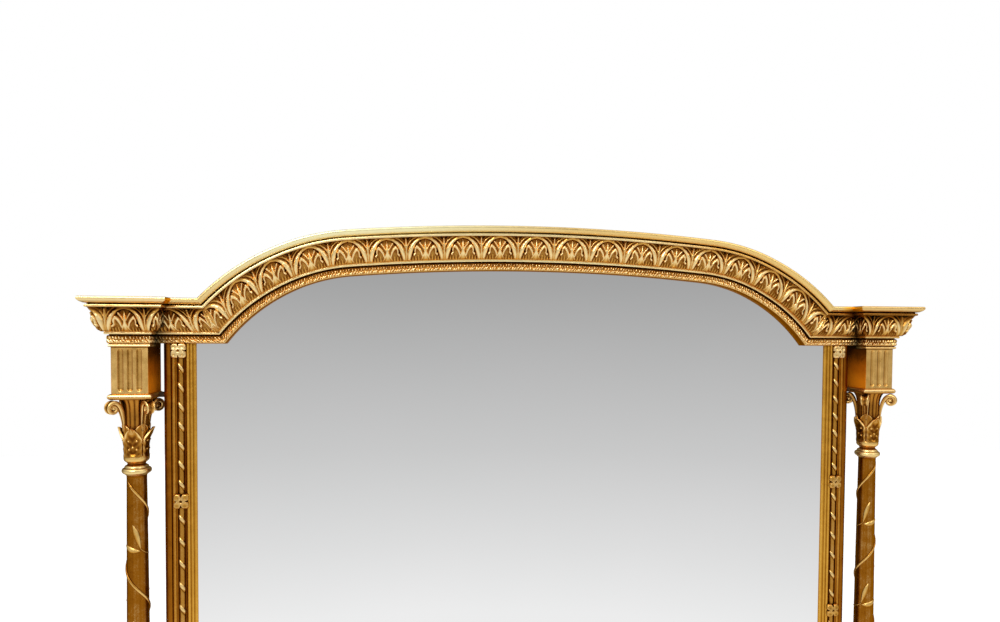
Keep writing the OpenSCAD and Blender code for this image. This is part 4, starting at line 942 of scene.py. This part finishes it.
CORNICE_H = 79.0
FASCIA_PROUD = 39.0
BOARD_T = 8.0
FASCIA_STEP = 6.0
fascia_profile = eased([(FASCIA_FOOT, 27.2), (68.3, 31.6), (69.7, 34.4), (71.5, 36.8), (73.2, 38.4),
                        (74.6, FASCIA_PROUD), (CORNICE_H - 1.5, FASCIA_PROUD),
                        (CORNICE_H, FASCIA_PROUD - 1.5), (CORNICE_H, BOARD_T - MAIN_FACE + 1)],
                       radius=0.4, step=6)


def fascia_quirk_shade(n, out):
    """No relief. The leaf is darkened as painted shade in the quirk and a little on the slope."""
    return 0 * n + 0 * out, 0.95 - 1.3 * hump(out - FASCIA_FOOT, 0.8) + 0 * n


def warmth(word, n, out):
    """The right-hand return is orange beside the block, a painted reflection of the block's bole
    side, and the right-hand shoulder and the crown's right part are a little warm, as painted
    shade.
    The crown's left part and the left shoulder's upper part are painted pale, as painted highlight."""
    shares = {"return_right": np.clip((n - 0.35) / 0.3, 0, 0.75),
              "crown": 0.15 * held(n / 3.0) - 0.9 * held((0.8 - n) / 4.0),
              "shoulder_left": -0.9 * held(n / 2.5), "shoulder_right": 0.15}
    return shares.get(word, 0) + 0 * n + 0 * out


fascia_finish = gilding("burnished_leaf", (0.90, 0.65, 0.26), (0.74, 0.44, 0.12),
                        (0.07, 0.02, 0.003), raised="raised", patchy=0.35, bump=0.15,
                        crevice_dirt_and_shade=0.5, warm="warm")
for word, side, place, (first, last), _ in RUNS:
    stations = np.linspace(first, last, int((last - first) * LEAF_PITCH / FASCIA_STEP))
    points, raised, warm = carved_run(place, side, stations, fascia_profile, MAIN_FACE, BOARD_T,
                                      fascia_quirk_shade, lambda n, out: warmth(word, n, out))
    fascia = shape("plain_fascia_" + word, [points], fascia_finish, raised=[raised], warm=[warm])
    fitted(fascia, "fascia_" + word)

# ---- Entablature blocks ----
# The cornice breaks forward over each column. The block carries the same mouldings round its
# front and sides, with smaller leaves, one on each front corner and one between them.

BLOCK_W = 60.0
BLOCK_FACE = 70.0
COLUMN_X = BLOCK_IN + BLOCK_W / 2
COVE_H = 6.0
BLOCK_LEAF = 62.0
# How far from the wall the fans at the block's foot and head have their middles
FOOT_FAN_D, HEAD_FAN_D = 35.0, 90.0
bead = [(-3.1 - 2.4 * np.cos(a), 1.2 + 2.9 * np.sin(a)) for a in np.radians(np.linspace(8, 172, 9))]
foot_bead = eased([(-COVE_H, -0.4), (-COVE_H + 0.4, 0.6), *bead, (0, BAND_PROUD - 3.6)],
                  radius=0.2)
front_edge = np.argmax(fascia_profile[:, 0] > CORNICE_H - 1e-6)
block_profile = np.concatenate([foot_bead, band_profile[:-1], frieze_profile,
                                fascia_profile[1:front_edge + 1]])
# The leaves are shorter than the arch's, but the band's small leaves keep their size
LITTLE_PACE = 0.9
# The right-hand block is browner than the left-hand one, as painted shade
BLOCK_RIGHT_SHADE = {-1: 0.0, 1: -0.22}


def block_relief(n, out):
    """The band's relief below and the frieze's above, with painted shade toward its lip. The bead
    under the band is bright as a painted highlight, with a painted shadow line on either side."""
    little, dabs = little_relief(n * LITTLE_PACE, out)
    high, raised = leaf_relief(n, out)
    band = (out > 1.2) & (out < 14.0)
    bead_light_and_shade = 0.95 - 0.95 * (hump(out + COVE_H, 0.7) + hump(out + 0.2, 0.6))
    raised = np.where(out <= 1.2, bead_light_and_shade, raised)
    raised = raised - lip_painted_shade(out)
    raised = np.where(out > FASCIA_FOOT, fascia_quirk_shade(n, out)[1], raised)
    return np.where(band, little, high), np.where(band, dabs, raised)


def block_body(side, word):
    """The profile carried round the block: along the plain end in the cornice, the inner return,
    the front and the outer side to the wall. The leaves keep their pitch from the front's
    middle round both corners. Fans close the top and the foot."""
    out, proud, normal = profile_parts(block_profile)
    inner = np.linspace(0, 1, 40)[:, None]
    front = np.linspace(0, 1, 150)[:, None]
    outer = np.linspace(0, 1, 110)[:, None]
    corner = (BLOCK_W / 2 + proud) / BLOCK_LEAF
    lap = 1.0
    spread = [-corner - (BLOCK_FACE - MAIN_FACE + lap) / BLOCK_LEAF * (1 - inner),
              corner * (2 * front - 1), corner + (BLOCK_FACE + proud) / BLOCK_LEAF * outer]
    made = []
    for n in spread:
        high, raised = block_relief(n, out[None, :])
        off_corner = np.abs(np.abs(n) - corner) * BLOCK_LEAF
        made.append((high * (1 - 0.6 * hump(off_corner, 5)), raised))
    (p0, z0), (p1, z1), (p2, z2) = [
        (proud + normal[:, 1] * high, SPRING_Z + out + normal[:, 0] * high) for high, _ in made]
    plain_d = np.stack([0 * proud, MAIN_FACE + proud - lap])
    x = [np.full_like(plain_d, BLOCK_IN), BLOCK_IN - p0,
         COLUMN_X + (2 * front - 1) * (BLOCK_W / 2 + p1), BLOCK_IN + BLOCK_W + p2]
    depth = [plain_d, MAIN_FACE + p0 - lap + (BLOCK_FACE - MAIN_FACE + lap) * inner,
             BLOCK_FACE + p1, (BLOCK_FACE + p2) * (1 - outer)]
    z = np.concatenate([np.stack([SPRING_Z + out] * 2), z0, z1, z2])
    raised = np.concatenate([np.stack([0 * out] * 2)] + [m[1] for m in made]) + BLOCK_RIGHT_SHADE[side]
    raised -= right_edge_shade(word, 0, out) * (out < FASCIA_FOOT)
    plain = np.ones((2, len(out)))
    # Soot and painted shade darken the block's inner side toward its corner with the arch
    dark = np.concatenate([plain, hump(inner, 0.5) + 0 * p0, 0 * p1, 0 * p2])
    warm = np.concatenate([plain, 1 + 0 * p0, 0 * p1, 0 * p2])
    dark = np.where(out > FASCIA_FOOT + 1, 0.0, 0.75 * dark)
    warm = np.where(out > FASCIA_FOOT, warm, 0.0)
    points = np.stack([side * np.concatenate(x), ROOM_Y - np.concatenate(depth), z], -1)
    foot, head = [np.broadcast_to([side * COLUMN_X, ROOM_Y - d, z], points[:, :1].shape)
                  for d, z in ((FOOT_FAN_D, SPRING_Z - COVE_H), (HEAD_FAN_D, SPRING_Z + CORNICE_H))]
    points = np.concatenate([foot, points, head], axis=1).transpose(1, 0, 2)
    return [points] + [np.concatenate([v[:, :1], v, v[:, -1:]], axis=1).T
                       for v in (raised, dark, warm)]


for side, word in SIDES:
    points, raised, dark, warm = block_body(side, word)
    block = shape("cornice_block_" + word, [points], frieze_finish, raised=[raised], soot=[dark],
                  warm=[warm])
    fitted(block, "entablature_block_" + word)

# ---- Fluted blocks and abaci ----
# A square block with three short flutes stands under each cornice block, on a round-nosed
# abacus. Its front is ochre leaf; its sides were only coloured with bole.

BLOCK_TOP = 1177.0
ABACUS_TOP = 1097.0
CAPITAL_TOP = 1086.5
ABACUS_HALF = 35.4
COLUMN_DEPTH = 39.0
FLUTE_HALF, FLUTE_DEEP, FLUTE_PITCH = 4.6, 2.6, 15.0
# How far the flutes keep from the block's edges, its foot and its head
FLUTE_MARGIN, FLUTE_FOOT, FLUTE_HEAD = 8.0, 9.0, 7.0


def square_ring(x0, x1, d0, d1, corner, per_side):
    """The points of a rectangle with rounded corners, from the rear inner corner round the
    front. A point is (x, depth)."""
    pts = []
    for (cx, cd), start in (((x0 + corner, d0 + corner), 270), ((x0 + corner, d1 - corner), 180),
                            ((x1 - corner, d1 - corner), 90), ((x1 - corner, d0 + corner), 0)):
        turn = np.radians(start - np.linspace(0, 90, 5))
        pts.append(np.stack([cx + corner * np.cos(turn), cd + corner * np.sin(turn)], 1))
    pts = np.concatenate(pts + [pts[0][:1]])
    spans = np.linalg.norm(np.diff(pts, axis=0), axis=1)
    parts = np.where(spans > 4 * corner, per_side, 1)
    place = np.concatenate([k + np.arange(p) / p for k, p in enumerate(parts)])
    return np.stack([np.interp(place, np.arange(len(pts)), pts[:, c]) for c in (0, 1)], 1)


def fluted_block(side):
    """A ring of the block's square at each height. On the front each flute is a half-round
    hollow, which runs out at its ends along a quarter circle."""
    ring = square_ring(BLOCK_IN, BLOCK_IN + BLOCK_W, 0.0, BLOCK_FACE, 0.8, 110)
    z = np.concatenate([[ABACUS_TOP], np.linspace(ABACUS_TOP + 0.5, BLOCK_TOP - 0.5, 90),
                        [BLOCK_TOP]])[:, None]
    on_front = ring[:, 1] > BLOCK_FACE - 0.05
    across = ring[:, 0] - BLOCK_IN
    off = (across + FLUTE_PITCH / 2) % FLUTE_PITCH - FLUTE_PITCH / 2
    kept = (across > FLUTE_MARGIN) & (across < BLOCK_W - FLUTE_MARGIN) & on_front
    ends = np.clip(np.maximum(ABACUS_TOP + FLUTE_FOOT - z, z - BLOCK_TOP + FLUTE_HEAD), 0, None)
    hollow = held(1 - (off / FLUTE_HALF) ** 2 - (ends / FLUTE_HALF) ** 2) ** 0.5 * kept
    depth = ring[:, 1] - FLUTE_DEEP * hollow
    up = (z - ABACUS_TOP) / (BLOCK_TOP - ABACUS_TOP)
    sunk = hollow > 0.02
    # Painted light in each flute: shade on one wall, a highlight on the other, and shade at its
    # foot
    painted_flute_shade = hump(off * side / FLUTE_HALF + 0.66, 0.3) * sunk
    lit = hump(off * side / FLUTE_HALF - 0.7, 0.3) * sunk
    flute_foot_shade = hump(z - ABACUS_TOP - 7.0, 2.6) * sunk
    raised = 0.70 - 0.12 * hollow - 0.45 * painted_flute_shade * held(1.3 - flute_foot_shade) + 0.12 * lit - 0.3 * flute_foot_shade
    # A painted shadow line along the top, under the cornice block's cove
    raised = raised - 0.7 * hump(BLOCK_TOP - z, 1.0)
    bare = np.broadcast_to(np.where(on_front, 0.0, 1.0), raised.shape)
    # The bare sides darken toward the top, as painted shade under the cornice
    raised = np.where(bare > 0.5, 1.0 - 1.1 * held((up - 0.15) / 0.85), raised)
    points = points_at(side * ring[:, 0], ROOM_Y - depth, z)
    return capped(points), ends_repeated(raised), ends_repeated(bare)


def abacus(side):
    """A ring of the abacus's square at each height, drawn in along a half circle."""
    turn = np.radians(np.linspace(-90, 90, 15))
    half_h = (ABACUS_TOP - CAPITAL_TOP) / 2
    rings = np.stack([
        square_ring(COLUMN_X - ABACUS_HALF - p, COLUMN_X + ABACUS_HALF + p,
                    COLUMN_DEPTH - ABACUS_HALF, COLUMN_DEPTH + ABACUS_HALF + p, 1.0, 12)
        for p in half_h * (np.cos(turn) - 1)])
    z = CAPITAL_TOP + half_h * (1 + np.sin(turn))
    points = points_at(side * rings[..., 0], ROOM_Y - rings[..., 1], z[:, None])
    # A painted highlight runs along the upper part of the round nose
    raised = 0.35 + 0.55 * hump(turn - 0.25, 0.55)[:, None] + 0 * rings[..., 0]
    return capped(points), ends_repeated(raised)


def bare_sides(name, front, pale, rich, hollow):
    """The leaf of the front, and a coat of bole without leaf where the bare attribute is 1. The
    bare coat hardly shines."""
    made = gilding(name, *front, raised="raised", patchy=0.55, bump=0.6, crevice_dirt_and_shade=0.5)
    tree = made.node_tree
    shader = tree.nodes["Principled BSDF"]
    coat = add(tree, "Group", {"Pale": (*pale, 1), "Rich": (*rich, 1), "Hollow": (*hollow, 1),
                               "Patchy": 0.3}, node_tree=gilt_group)
    bare = mark_of(tree, "bare")
    feed(tree, coat, {"Raised": mark_of(tree, "raised")})
    leaf_colour = shader.inputs["Base Color"].links[0].from_socket
    feed(tree, shader, {"Base Color": mixed(tree, bare, leaf_colour, coat.outputs["Color"]),
                        "Metallic": maths(tree, "SUBTRACT", 1.0, bare),
                        "Specular IOR Level": 0.03, "IOR": 1.02})
    return made


flute_finish = bare_sides(
    "ochre_leaf", ((0.94, 0.62, 0.22), (0.66, 0.36, 0.085), (0.26, 0.10, 0.012)),
    (0.66, 0.19, 0.006), (0.38, 0.095, 0.003), (0.07, 0.018, 0.001))
abacus_finish = gilding("abacus_leaf", (0.98, 0.68, 0.30), (0.60, 0.31, 0.07), (0.20, 0.06, 0.006),
                        raised="raised")
for side, word in SIDES:
    points, raised, bare = fluted_block(side)
    impost = shape("fluted_block_" + word, [points], flute_finish, raised=[raised], bare=[bare])
    fitted(impost, "impost_block_" + word)
    points, raised = abacus(side)
    slab = shape("round_abacus_" + word, [points], abacus_finish, raised=[raised])
    fitted(slab, "abacus_" + word)

# ---- Capital bells ----
# A turned pine bell: a small cup at the neck, a straight root behind the leaves and a finely
# ribbed upper part that flares under the abacus.

NECK_Z = 972.0
FLARE_Z, FLARE_H = 1036.1, 50.2
RIBS, RIB_FOOT_Z = 16, 1015.0


def about_column(side, radius, azimuth, z):
    """A point about a column's axis. The azimuth is 0 at the front and grows outward."""
    return points_at(side * (COLUMN_X + radius * np.sin(azimuth)),
                     ROOM_Y - COLUMN_DEPTH - radius * np.cos(azimuth), z)


AROUND = full_turn(192)
rise = np.linspace(0, 1, 30)
BELL = np.concatenate([
    eased([(0.5, NECK_Z, 0.3), (14.5, NECK_Z, 0.5), (15.1, 974.5, 0.7), (19.5, 978, 0.95),
           (20.8, 981, 1.0), (20.8, 985.5, 0.9), (19, 988, 0.3), (18.5, 1000, 0.1),
           (19.2, 1030, 0.15)], radius=0.6),
    np.stack([19.6 + 1.6 * rise + 6.5 * rise ** 6, FLARE_Z + FLARE_H * rise,
              0.16 + 0.12 * rise], 1),
    [(0.5, 1086.4, 0.2)]])
radius, z, mark = BELL[:, 0:1], BELL[:, 1:2], BELL[:, 2:3]
high_part = held((z - RIB_FOOT_Z) / 30) * (radius > 5)
ribs = np.abs(np.cos(RIBS / 2 * AROUND)) ** 0.7
bell_radius = radius + high_part * (1.3 * ribs - 0.8)
bell_mark = mark + high_part * (0.45 * (ribs - 0.6))
bell_finish = gilding("bell_leaf", (0.95, 0.62, 0.20), (0.58, 0.25, 0.034), (0.14, 0.035, 0.003),
                      raised="raised", crevice_dirt_and_shade=0.8)
for side, word in SIDES:
    bell = shape("ribbed_bell_" + word, [capped(about_column(side, bell_radius, AROUND, z))],
                 bell_finish, raised=[ends_repeated(bell_mark)])
    fitted(bell, "capital_bell_" + word)

# ---- Corner volutes ----
# Four straps that climb the bell, widen, turn over under the abacus's corners and roll in to an
# eye. Each is composition on wire, with a raised rim along both edges and a dark middle.

# The azimuth of each volute and how far its eye is from the axis; the rear pair clears the wall
VOLUTES = ((45, 40.0), (135, 37.0), (225, 37.0), (315, 40.0))
EYE_Z = 1071.6
ROLL_R, ROLL_IN, ROLL_TURN = 11.8, 8.3, 470.0
STRAP_T, STRAP_FOOT_R, STRAP_FOOT_Z = 3.0, 19.8, 1031.0
# The thin disc that fills the roll and the round eye: reach, half thickness, brightness; the disc
# is dark as painted shade inside the roll
ROLL_DISCS = ((9.2, 2.0, 0.12), (3.1, 4.4, 0.95))


def volute(side, azimuth, eye_r):
    """The strap's centre line is a quarter ellipse up from the bell and then a spiral that
    tightens evenly; its section is a thin band, wide where it turns over, with a rim at each
    edge. A thin disc fills the roll and a round eye stands at its middle."""
    climb = np.linspace(0, 1, 30)[:-1]
    rise = climb * np.pi / 2
    wind = np.linspace(0, 1, 120)
    roll = np.radians(90 - ROLL_TURN * wind)
    roll_r = ROLL_R - STRAP_T / 2 - ROLL_IN * wind
    top = EYE_Z + ROLL_R - STRAP_T / 2
    r = np.concatenate([STRAP_FOOT_R + STRAP_T / 2 * (1 - climb)
                        + (eye_r - STRAP_FOOT_R) * (1 - np.cos(rise)),
                        eye_r + roll_r * np.cos(roll)])
    z = np.concatenate([STRAP_FOOT_Z + (top - STRAP_FOOT_Z) * np.sin(rise),
                        EYE_Z + roll_r * np.sin(roll)])
    run = np.gradient(np.stack([r, z], 1), axis=0)
    run /= np.linalg.norm(run, axis=1, keepdims=True)
    place = np.concatenate([[0], np.cumsum(np.hypot(np.diff(r), np.diff(z)))])
    place = (place / place[len(climb) - 1])[:, None]
    half_w = np.interp(place[:, 0], [0, 0.55, 0.95, 1.15, 1.5, 2.0, 2.6],
                       [2.4, 4.6, 8.4, 8.0, 5.0, 3.4, 2.6])[:, None]
    turn = full_turn(32)
    flat = np.sign(np.cos(turn)) * np.abs(np.cos(turn)) ** 0.5
    rim = 1.0 + 0.8 * hump(np.abs(flat) - 0.8, 0.17) - 0.5 * hump(flat, 0.45)
    thick = STRAP_T / 2 * np.sign(np.sin(turn)) * np.abs(np.sin(turn)) ** 0.5 * rim
    thick = thick * np.interp(place, [0, 0.5, 0.95, 1.4, 2.0, 3.0], [0.8, 1.3, 1.6, 1.3, 0.9, 0.7])
    wide = flat * half_w
    points_r = r[:, None] - run[:, 1:] * thick
    points_z = z[:, None] + run[:, :1] * thick

    def beside(r, off, z):
        """A closed tube from distances along the volute's direction, beside it and up."""
        return capped(about_column(side, np.hypot(r, off), azimuth + np.arctan2(off, r), z))

    raised = 0.30 + 0.85 * np.clip(rim - 0.95, -0.5, 0.85) + 0.12 * np.clip(place, 0, 1.3)
    tubes, marks = [beside(points_r, wide, points_z)], [ends_repeated(raised)]
    level = np.radians(np.linspace(-88, 88, 15))[:, None]
    for reach, half, mark in ROLL_DISCS:
        disc_r = eye_r + reach * np.cos(level) ** 0.35 * np.cos(turn)
        disc_z = EYE_Z + reach * np.cos(level) ** 0.35 * np.sin(turn)
        tubes.append(beside(disc_r, half * np.sin(level) + 0 * turn, disc_z))
        marks.append(ends_repeated(np.full(disc_r.shape, mark)))
    return tubes, marks


volute_finish = gilding("volute_leaf", (1.0, 0.68, 0.26), (0.58, 0.27, 0.045), (0.14, 0.04, 0.004),
                        raised="raised")
for side, word in SIDES:
    made = [volute(side, np.radians(azimuth), eye_r) for azimuth, eye_r in VOLUTES]
    scrolls = shape("volute_scrolls_" + word, sum([m[0] for m in made], []), volute_finish,
                    raised=sum([m[1] for m in made], []))
    fitted(scrolls, "capital_volutes_" + word)

# ---- Collars of leaves ----
# Four broad leaves stand round each bell, edge to edge, with turned-out pointed tips, a sunk
# middle and small berries. Four narrower leaves rise behind the notches. Cast in composition.

COLLAR_FOOT_Z, COLLAR_H = 985.5, 51.5
REAR_FOOT_Z, REAR_H = 1008.0, 36.5
# Each berry's place across and up the broad leaf
BERRIES = ((-0.42, 0.55), (0.42, 0.55), (0, 0.34), (-0.4, 0.26), (0.4, 0.26))


def blade(side, azimuth, middle, across, half, z, high, back, raised):
    """A leaf over (up, across) that leans out with its middle radius and is twice the half
    angle wide. Its outer face stands high off that surface, and its back lies under it."""
    def face(lift):
        """The blade's points that far outside its middle surface."""
        return about_column(side, middle + lift, azimuth + across * half, z)

    points = np.concatenate([face(high), face(0 * high - back)[:, ::-1]], axis=1)
    return capped(points), ends_repeated(np.concatenate([raised, 0.15 + 0 * raised], axis=1))


def collar_leaf(side, azimuth):
    """A blade over (up, across). Its middle leans out as the cube of the way up; its half angle
    is an eighth turn up to the notch and then runs to a point; rims, a sunk panel and berries
    are added to its outer face."""
    up = np.linspace(0.0, 1.0, 90)[:, None]
    across = np.linspace(-1, 1, 75)[None, :]
    middle = 18.8 + 8.6 * up ** 3
    half = np.radians(np.interp(up, [0, 0.58, 0.66, 0.76, 0.87, 0.95, 1],
                                [44.6, 44.6, 40, 31, 19, 8.5, 1.2]))
    z = COLLAR_FOOT_Z + COLLAR_H * up
    free = held((up - 0.52) / 0.14)
    rim = hump(np.abs(across) - 0.9 + 0.05 * free, 0.07 + 0.09 * free)
    rim = rim * (0.25 + 0.75 * free)
    rib = hump(across, 0.16) * held((up - 0.7) / 0.2)
    vein = np.cos(26 * up - 9 * np.abs(across)) * 0.22
    # Each berry is a round hump, with across and up taken to millimetres
    berries = sum(np.exp(-(((across - a) * 15.5) ** 2 + ((up - u) * 51) ** 2) / 3.0)
                  for a, u in BERRIES)
    panel = held(1.25 - (across / 0.66) ** 4 - (held(up - 0.5) / 0.26) ** 2) ** 0.5
    panel = panel * held((up - 0.03) / 0.08)
    high = 2.2 + 1.3 * rim + 0.8 * rib + vein - 1.3 * panel + 1.9 * berries
    high = high * (1 - np.abs(across) ** 16)
    raised = 0.46 + 0.75 * rim + 0.4 * rib + 0.95 * berries - 0.34 * panel + 0.5 * vein
    return blade(side, azimuth, middle, across, half, z, high, 0.6, np.clip(raised, 0, 1.1))


def rear_leaf(side, azimuth):
    """A narrower blade behind a notch. Its middle leans out as the square of the way up; it
    widens up to three quarters of its height and then runs to a short point."""
    up = np.linspace(0.0, 1.0, 36)[:, None]
    across = np.linspace(-1, 1, 33)[None, :]
    middle = 18.6 + 3.6 * up ** 2
    half = np.radians(np.interp(up, [0, 0.5, 0.72, 0.85, 0.95, 1], [24, 33, 34, 24, 9, 1.2]))
    rim = hump(np.abs(across) - 0.88, 0.14)
    rib = hump(across, 0.14)
    high = (1.3 + 0.9 * rim + 0.7 * rib) * (1 - np.abs(across) ** 14)
    raised = np.clip(0.34 + 0.6 * rim * held((up - 0.5) / 0.3) + 0.3 * rib, 0, 1.1)
    return blade(side, azimuth, middle, across, half, REAR_FOOT_Z + REAR_H * up, high, 0.5, raised)


collar_finish = gilding("collar_leaf", (0.99, 0.67, 0.24), (0.50, 0.215, 0.027),
                        (0.15, 0.04, 0.003), raised="raised", crevice_dirt_and_shade=0.6)
for side, word in SIDES:
    made = [collar_leaf(side, np.radians(a)) for a in (0, 90, 180, 270)]
    made += [rear_leaf(side, np.radians(a)) for a in (45, 135, 225, 315)]
    collar = shape("leaf_collar_" + word, [m[0] for m in made], collar_finish,
                   raised=[m[1] for m in made])
    fitted(collar, "capital_leaves_" + word)

# ---- Column shafts ----
# Turned pine shafts, a little thicker at the foot, with a double ring under the capital. A
# tenon at each end enters the bell and the base.

RING_Z = 955.0
SHAFT_FOOT_Z = 140.0
SHAFT_FOOT_R, SHAFT_TAPER = 20.5, 4.3
# The leaf is painted paler where the shaft is turned to the room and darker toward its sides, as
# painted light and shade
PAINTED_LIGHT_AZIMUTH = np.radians(-27.0)


def shaft_r(z):
    """The shaft's radius, which shrinks faster toward the ring: as the 1.6th power of the rise."""
    rise = held((z - SHAFT_FOOT_Z) / (RING_Z - SHAFT_FOOT_Z))
    return SHAFT_FOOT_R - SHAFT_TAPER * rise ** 1.6


# Profile as (radius, height, how bright the leaf is: rubbed, with painted highlights on the
# rounds): tenon, foot, shaft, ring, tenon
SHAFT = eased([(0.5, 122, 0), (7, 122, 0), (7, 140, 0), (23, 140, 0.5), (23, 143, 0.8),
               (21, 149, 0.4), *[(shaft_r(z), z, 0.5) for z in np.linspace(154, 948, 16)],
               (16.4, 952, 0.2), (18.2, 953.6, 0.8), (20.0, 955.4, 1.0), (22.2, 956.6, 1.2),
               (23.6, 958.6, 1.2), (24.0, 960.8, 1.2), (23.6, 963.0, 1.1), (22.2, 964.8, 0.9),
               (19.8, 965.8, 0.4), (19.6, 966.4, 1.1), (19.2, 968.6, 1.1), (16.4, 970.4, 0.6),
               (14.5, 972, 0.4), (7, 972, 0), (7, 990, 0), (0.5, 990, 0)], radius=0.5, step=12)
shaft_finish = gilding("shaft_leaf", (0.98, 0.68, 0.25), (0.37, 0.130, 0.007), (0.14, 0.028, 0.001),
                       raised="raised", patchy=0.55, warm="warm")
radius, z, mark = SHAFT[:, 0:1], SHAFT[:, 1:2], SHAFT[:, 2:3]
streaks_and_side_shade = 0.05 * np.cos(7 * AROUND + 1) + 0.04 * np.cos(19 * AROUND)
# Painted shade darkens the shaft toward its sides
streaks_and_side_shade = streaks_and_side_shade - 0.22 * (1 - np.cos(AROUND - PAINTED_LIGHT_AZIMUTH))
plain_part = np.abs(mark - 0.5) < 1e-6
# The ring is painted paler, as a painted highlight
ring_part = (mark > 0.85) & (z > 950)
for side, word in SIDES:
    shaft = shape("turned_shaft_" + word, [capped(about_column(side, radius, AROUND, z))],
                  shaft_finish, raised=[ends_repeated(mark + plain_part * streaks_and_side_shade)],
                  warm=[ends_repeated(-0.2 * ring_part + 0 * streaks_and_side_shade)])
    fitted(shaft, "column_shaft_" + word)

# ---- Vines ----
# A thin stem winds down each shaft, the other way on the other column, quicker over the front
# than behind. From it a sprig of two leaves grows at each turn. It is composition, laid on warm.

VINE_PITCH = 168.0
VINE_TOP_Z, VINE_FOOT_Z = 945.0, 162.0
VINE_STATIONS = 560
STEM_HALF, STEM_H = 2.4, 2.0
# Where the stem first crosses the middle of the side that is turned to the room's centre
VINE_CROSSING = {-1: (921.0, np.radians(-18.0)), 1: (911.0, np.radians(-36.0))}
VINE_QUICKEN = 0.25
# Each leaf as azimuth and height above the sprig's node, at its root and its tip, and half width
SPRIG = [((-1, -2), (40, 41), 4.6), ((3, -5), (95, 5), 5.2), ((-62, -12), (2, -1), 1.3)]
# The height of each column's first sprig
SPRIG_Z = {-1: 826.0, 1: 821.0}


def laid_on_shaft(side, azimuth, z, half_width, height, rib=0.0):
    """A strip laid on the shaft along a path of (azimuth, z). Its section is a half lens: across
    it goes as the cosine, and up from the shaft as the sine with a rib along its middle."""
    radius = shaft_r(z)
    run = np.stack([np.gradient(azimuth) * radius, np.gradient(z)])
    run /= np.linalg.norm(run, axis=0) + 1e-9
    turn = full_turn(14)
    across = np.cos(turn) * half_width[:, None]
    lift = np.where(np.sin(turn) > 0, np.sin(turn), 0.5 * np.sin(turn))
    lift = lift * height[:, None] + rib * hump(np.cos(turn), 0.25) * (np.sin(turn) > 0)
    point_z = z[:, None] + run[0][:, None] * across
    point_a = azimuth[:, None] - run[1][:, None] * across / radius[:, None]
    points = about_column(side, shaft_r(point_z) + 0.1 + lift, point_a, point_z)
    # Painted light: each strip is bright on one side of its section and dark on the other
    raised = 0.15 + 0.75 * held(np.sin(turn + 0.5)) + 0 * point_z
    return capped(points), ends_repeated(raised)


def vine(side):
    """The stem, whose azimuth goes as t plus a share of sin t, and at every half turn a sprig:
    each of its leaves is laid along a straight path on the shaft's skin, bowed a little."""
    z = np.linspace(VINE_TOP_Z, VINE_FOOT_Z, VINE_STATIONS)
    crossing, middle = VINE_CROSSING[side]
    t = -2 * np.pi * (crossing - z) / VINE_PITCH
    azimuth = middle + t + VINE_QUICKEN * np.sin(t)
    count = np.arange(VINE_STATIONS)
    ends = np.clip(np.minimum(count, count[::-1]) / 8, 0.15, 1)
    parts = [laid_on_shaft(side, azimuth, z, STEM_HALF * ends, STEM_H * ends)]
    t = np.linspace(0, 1, 30)
    for i in range(int((SPRIG_Z[side] - VINE_FOOT_Z) / VINE_PITCH * 2) + 1):
        node_z = SPRIG_Z[side] - i * VINE_PITCH / 2
        node_a = middle + np.radians(-15) - i * np.pi
        for (a0, z0), (a1, z1), half in SPRIG:
            swell = np.sin(np.pi * (0.03 + 0.94 * t)) ** (0.9 if half > 2 else 0.3)
            leaf_a = node_a + np.radians(a0 + (a1 - a0) * t)
            leaf_z = node_z + z0 + (z1 - z0) * t + 3.0 * np.sin(np.pi * t) * np.sign(z0 + 4)
            parts.append(laid_on_shaft(side, leaf_a, leaf_z, half * swell, 0.5 + 1.4 * swell,
                                       rib=0.5))
    return parts


vine_finish = gilding("vine_leaf", (0.94, 0.62, 0.20), (0.56, 0.25, 0.03), (0.15, 0.04, 0.004),
                      raised="raised", patchy=0.5)
for side, word in SIDES:
    made = vine(side)
    creeper = shape("vine_" + word, [m[0] for m in made], vine_finish, raised=[m[1] for m in made])
    fitted(creeper, "column_vine_" + word)

# ---- Column bases, plinth blocks, base board and its moulding ----
# A turned base under each column stands on a plinth block that breaks forward. A board with a
# stepped foot runs between the blocks, and its top moulding carries the stiles.

plain_finish = gilding("plain_leaf", (0.90, 0.62, 0.24), (0.62, 0.33, 0.075), (0.16, 0.05, 0.005),
                       raised=0.66, patchy=0.4, bump=0.35)
board_finish = gilding("board_leaf", (0.80, 0.50, 0.16), (0.50, 0.23, 0.04), (0.14, 0.04, 0.004),
                       raised=0.5, patchy=0.5, bump=0.35)
dress(plain_finish, "column_base_left", "column_base_right", "plinth_block_left",
      "plinth_block_right", "base_cap_moulding")
dress(board_finish, "base_board")
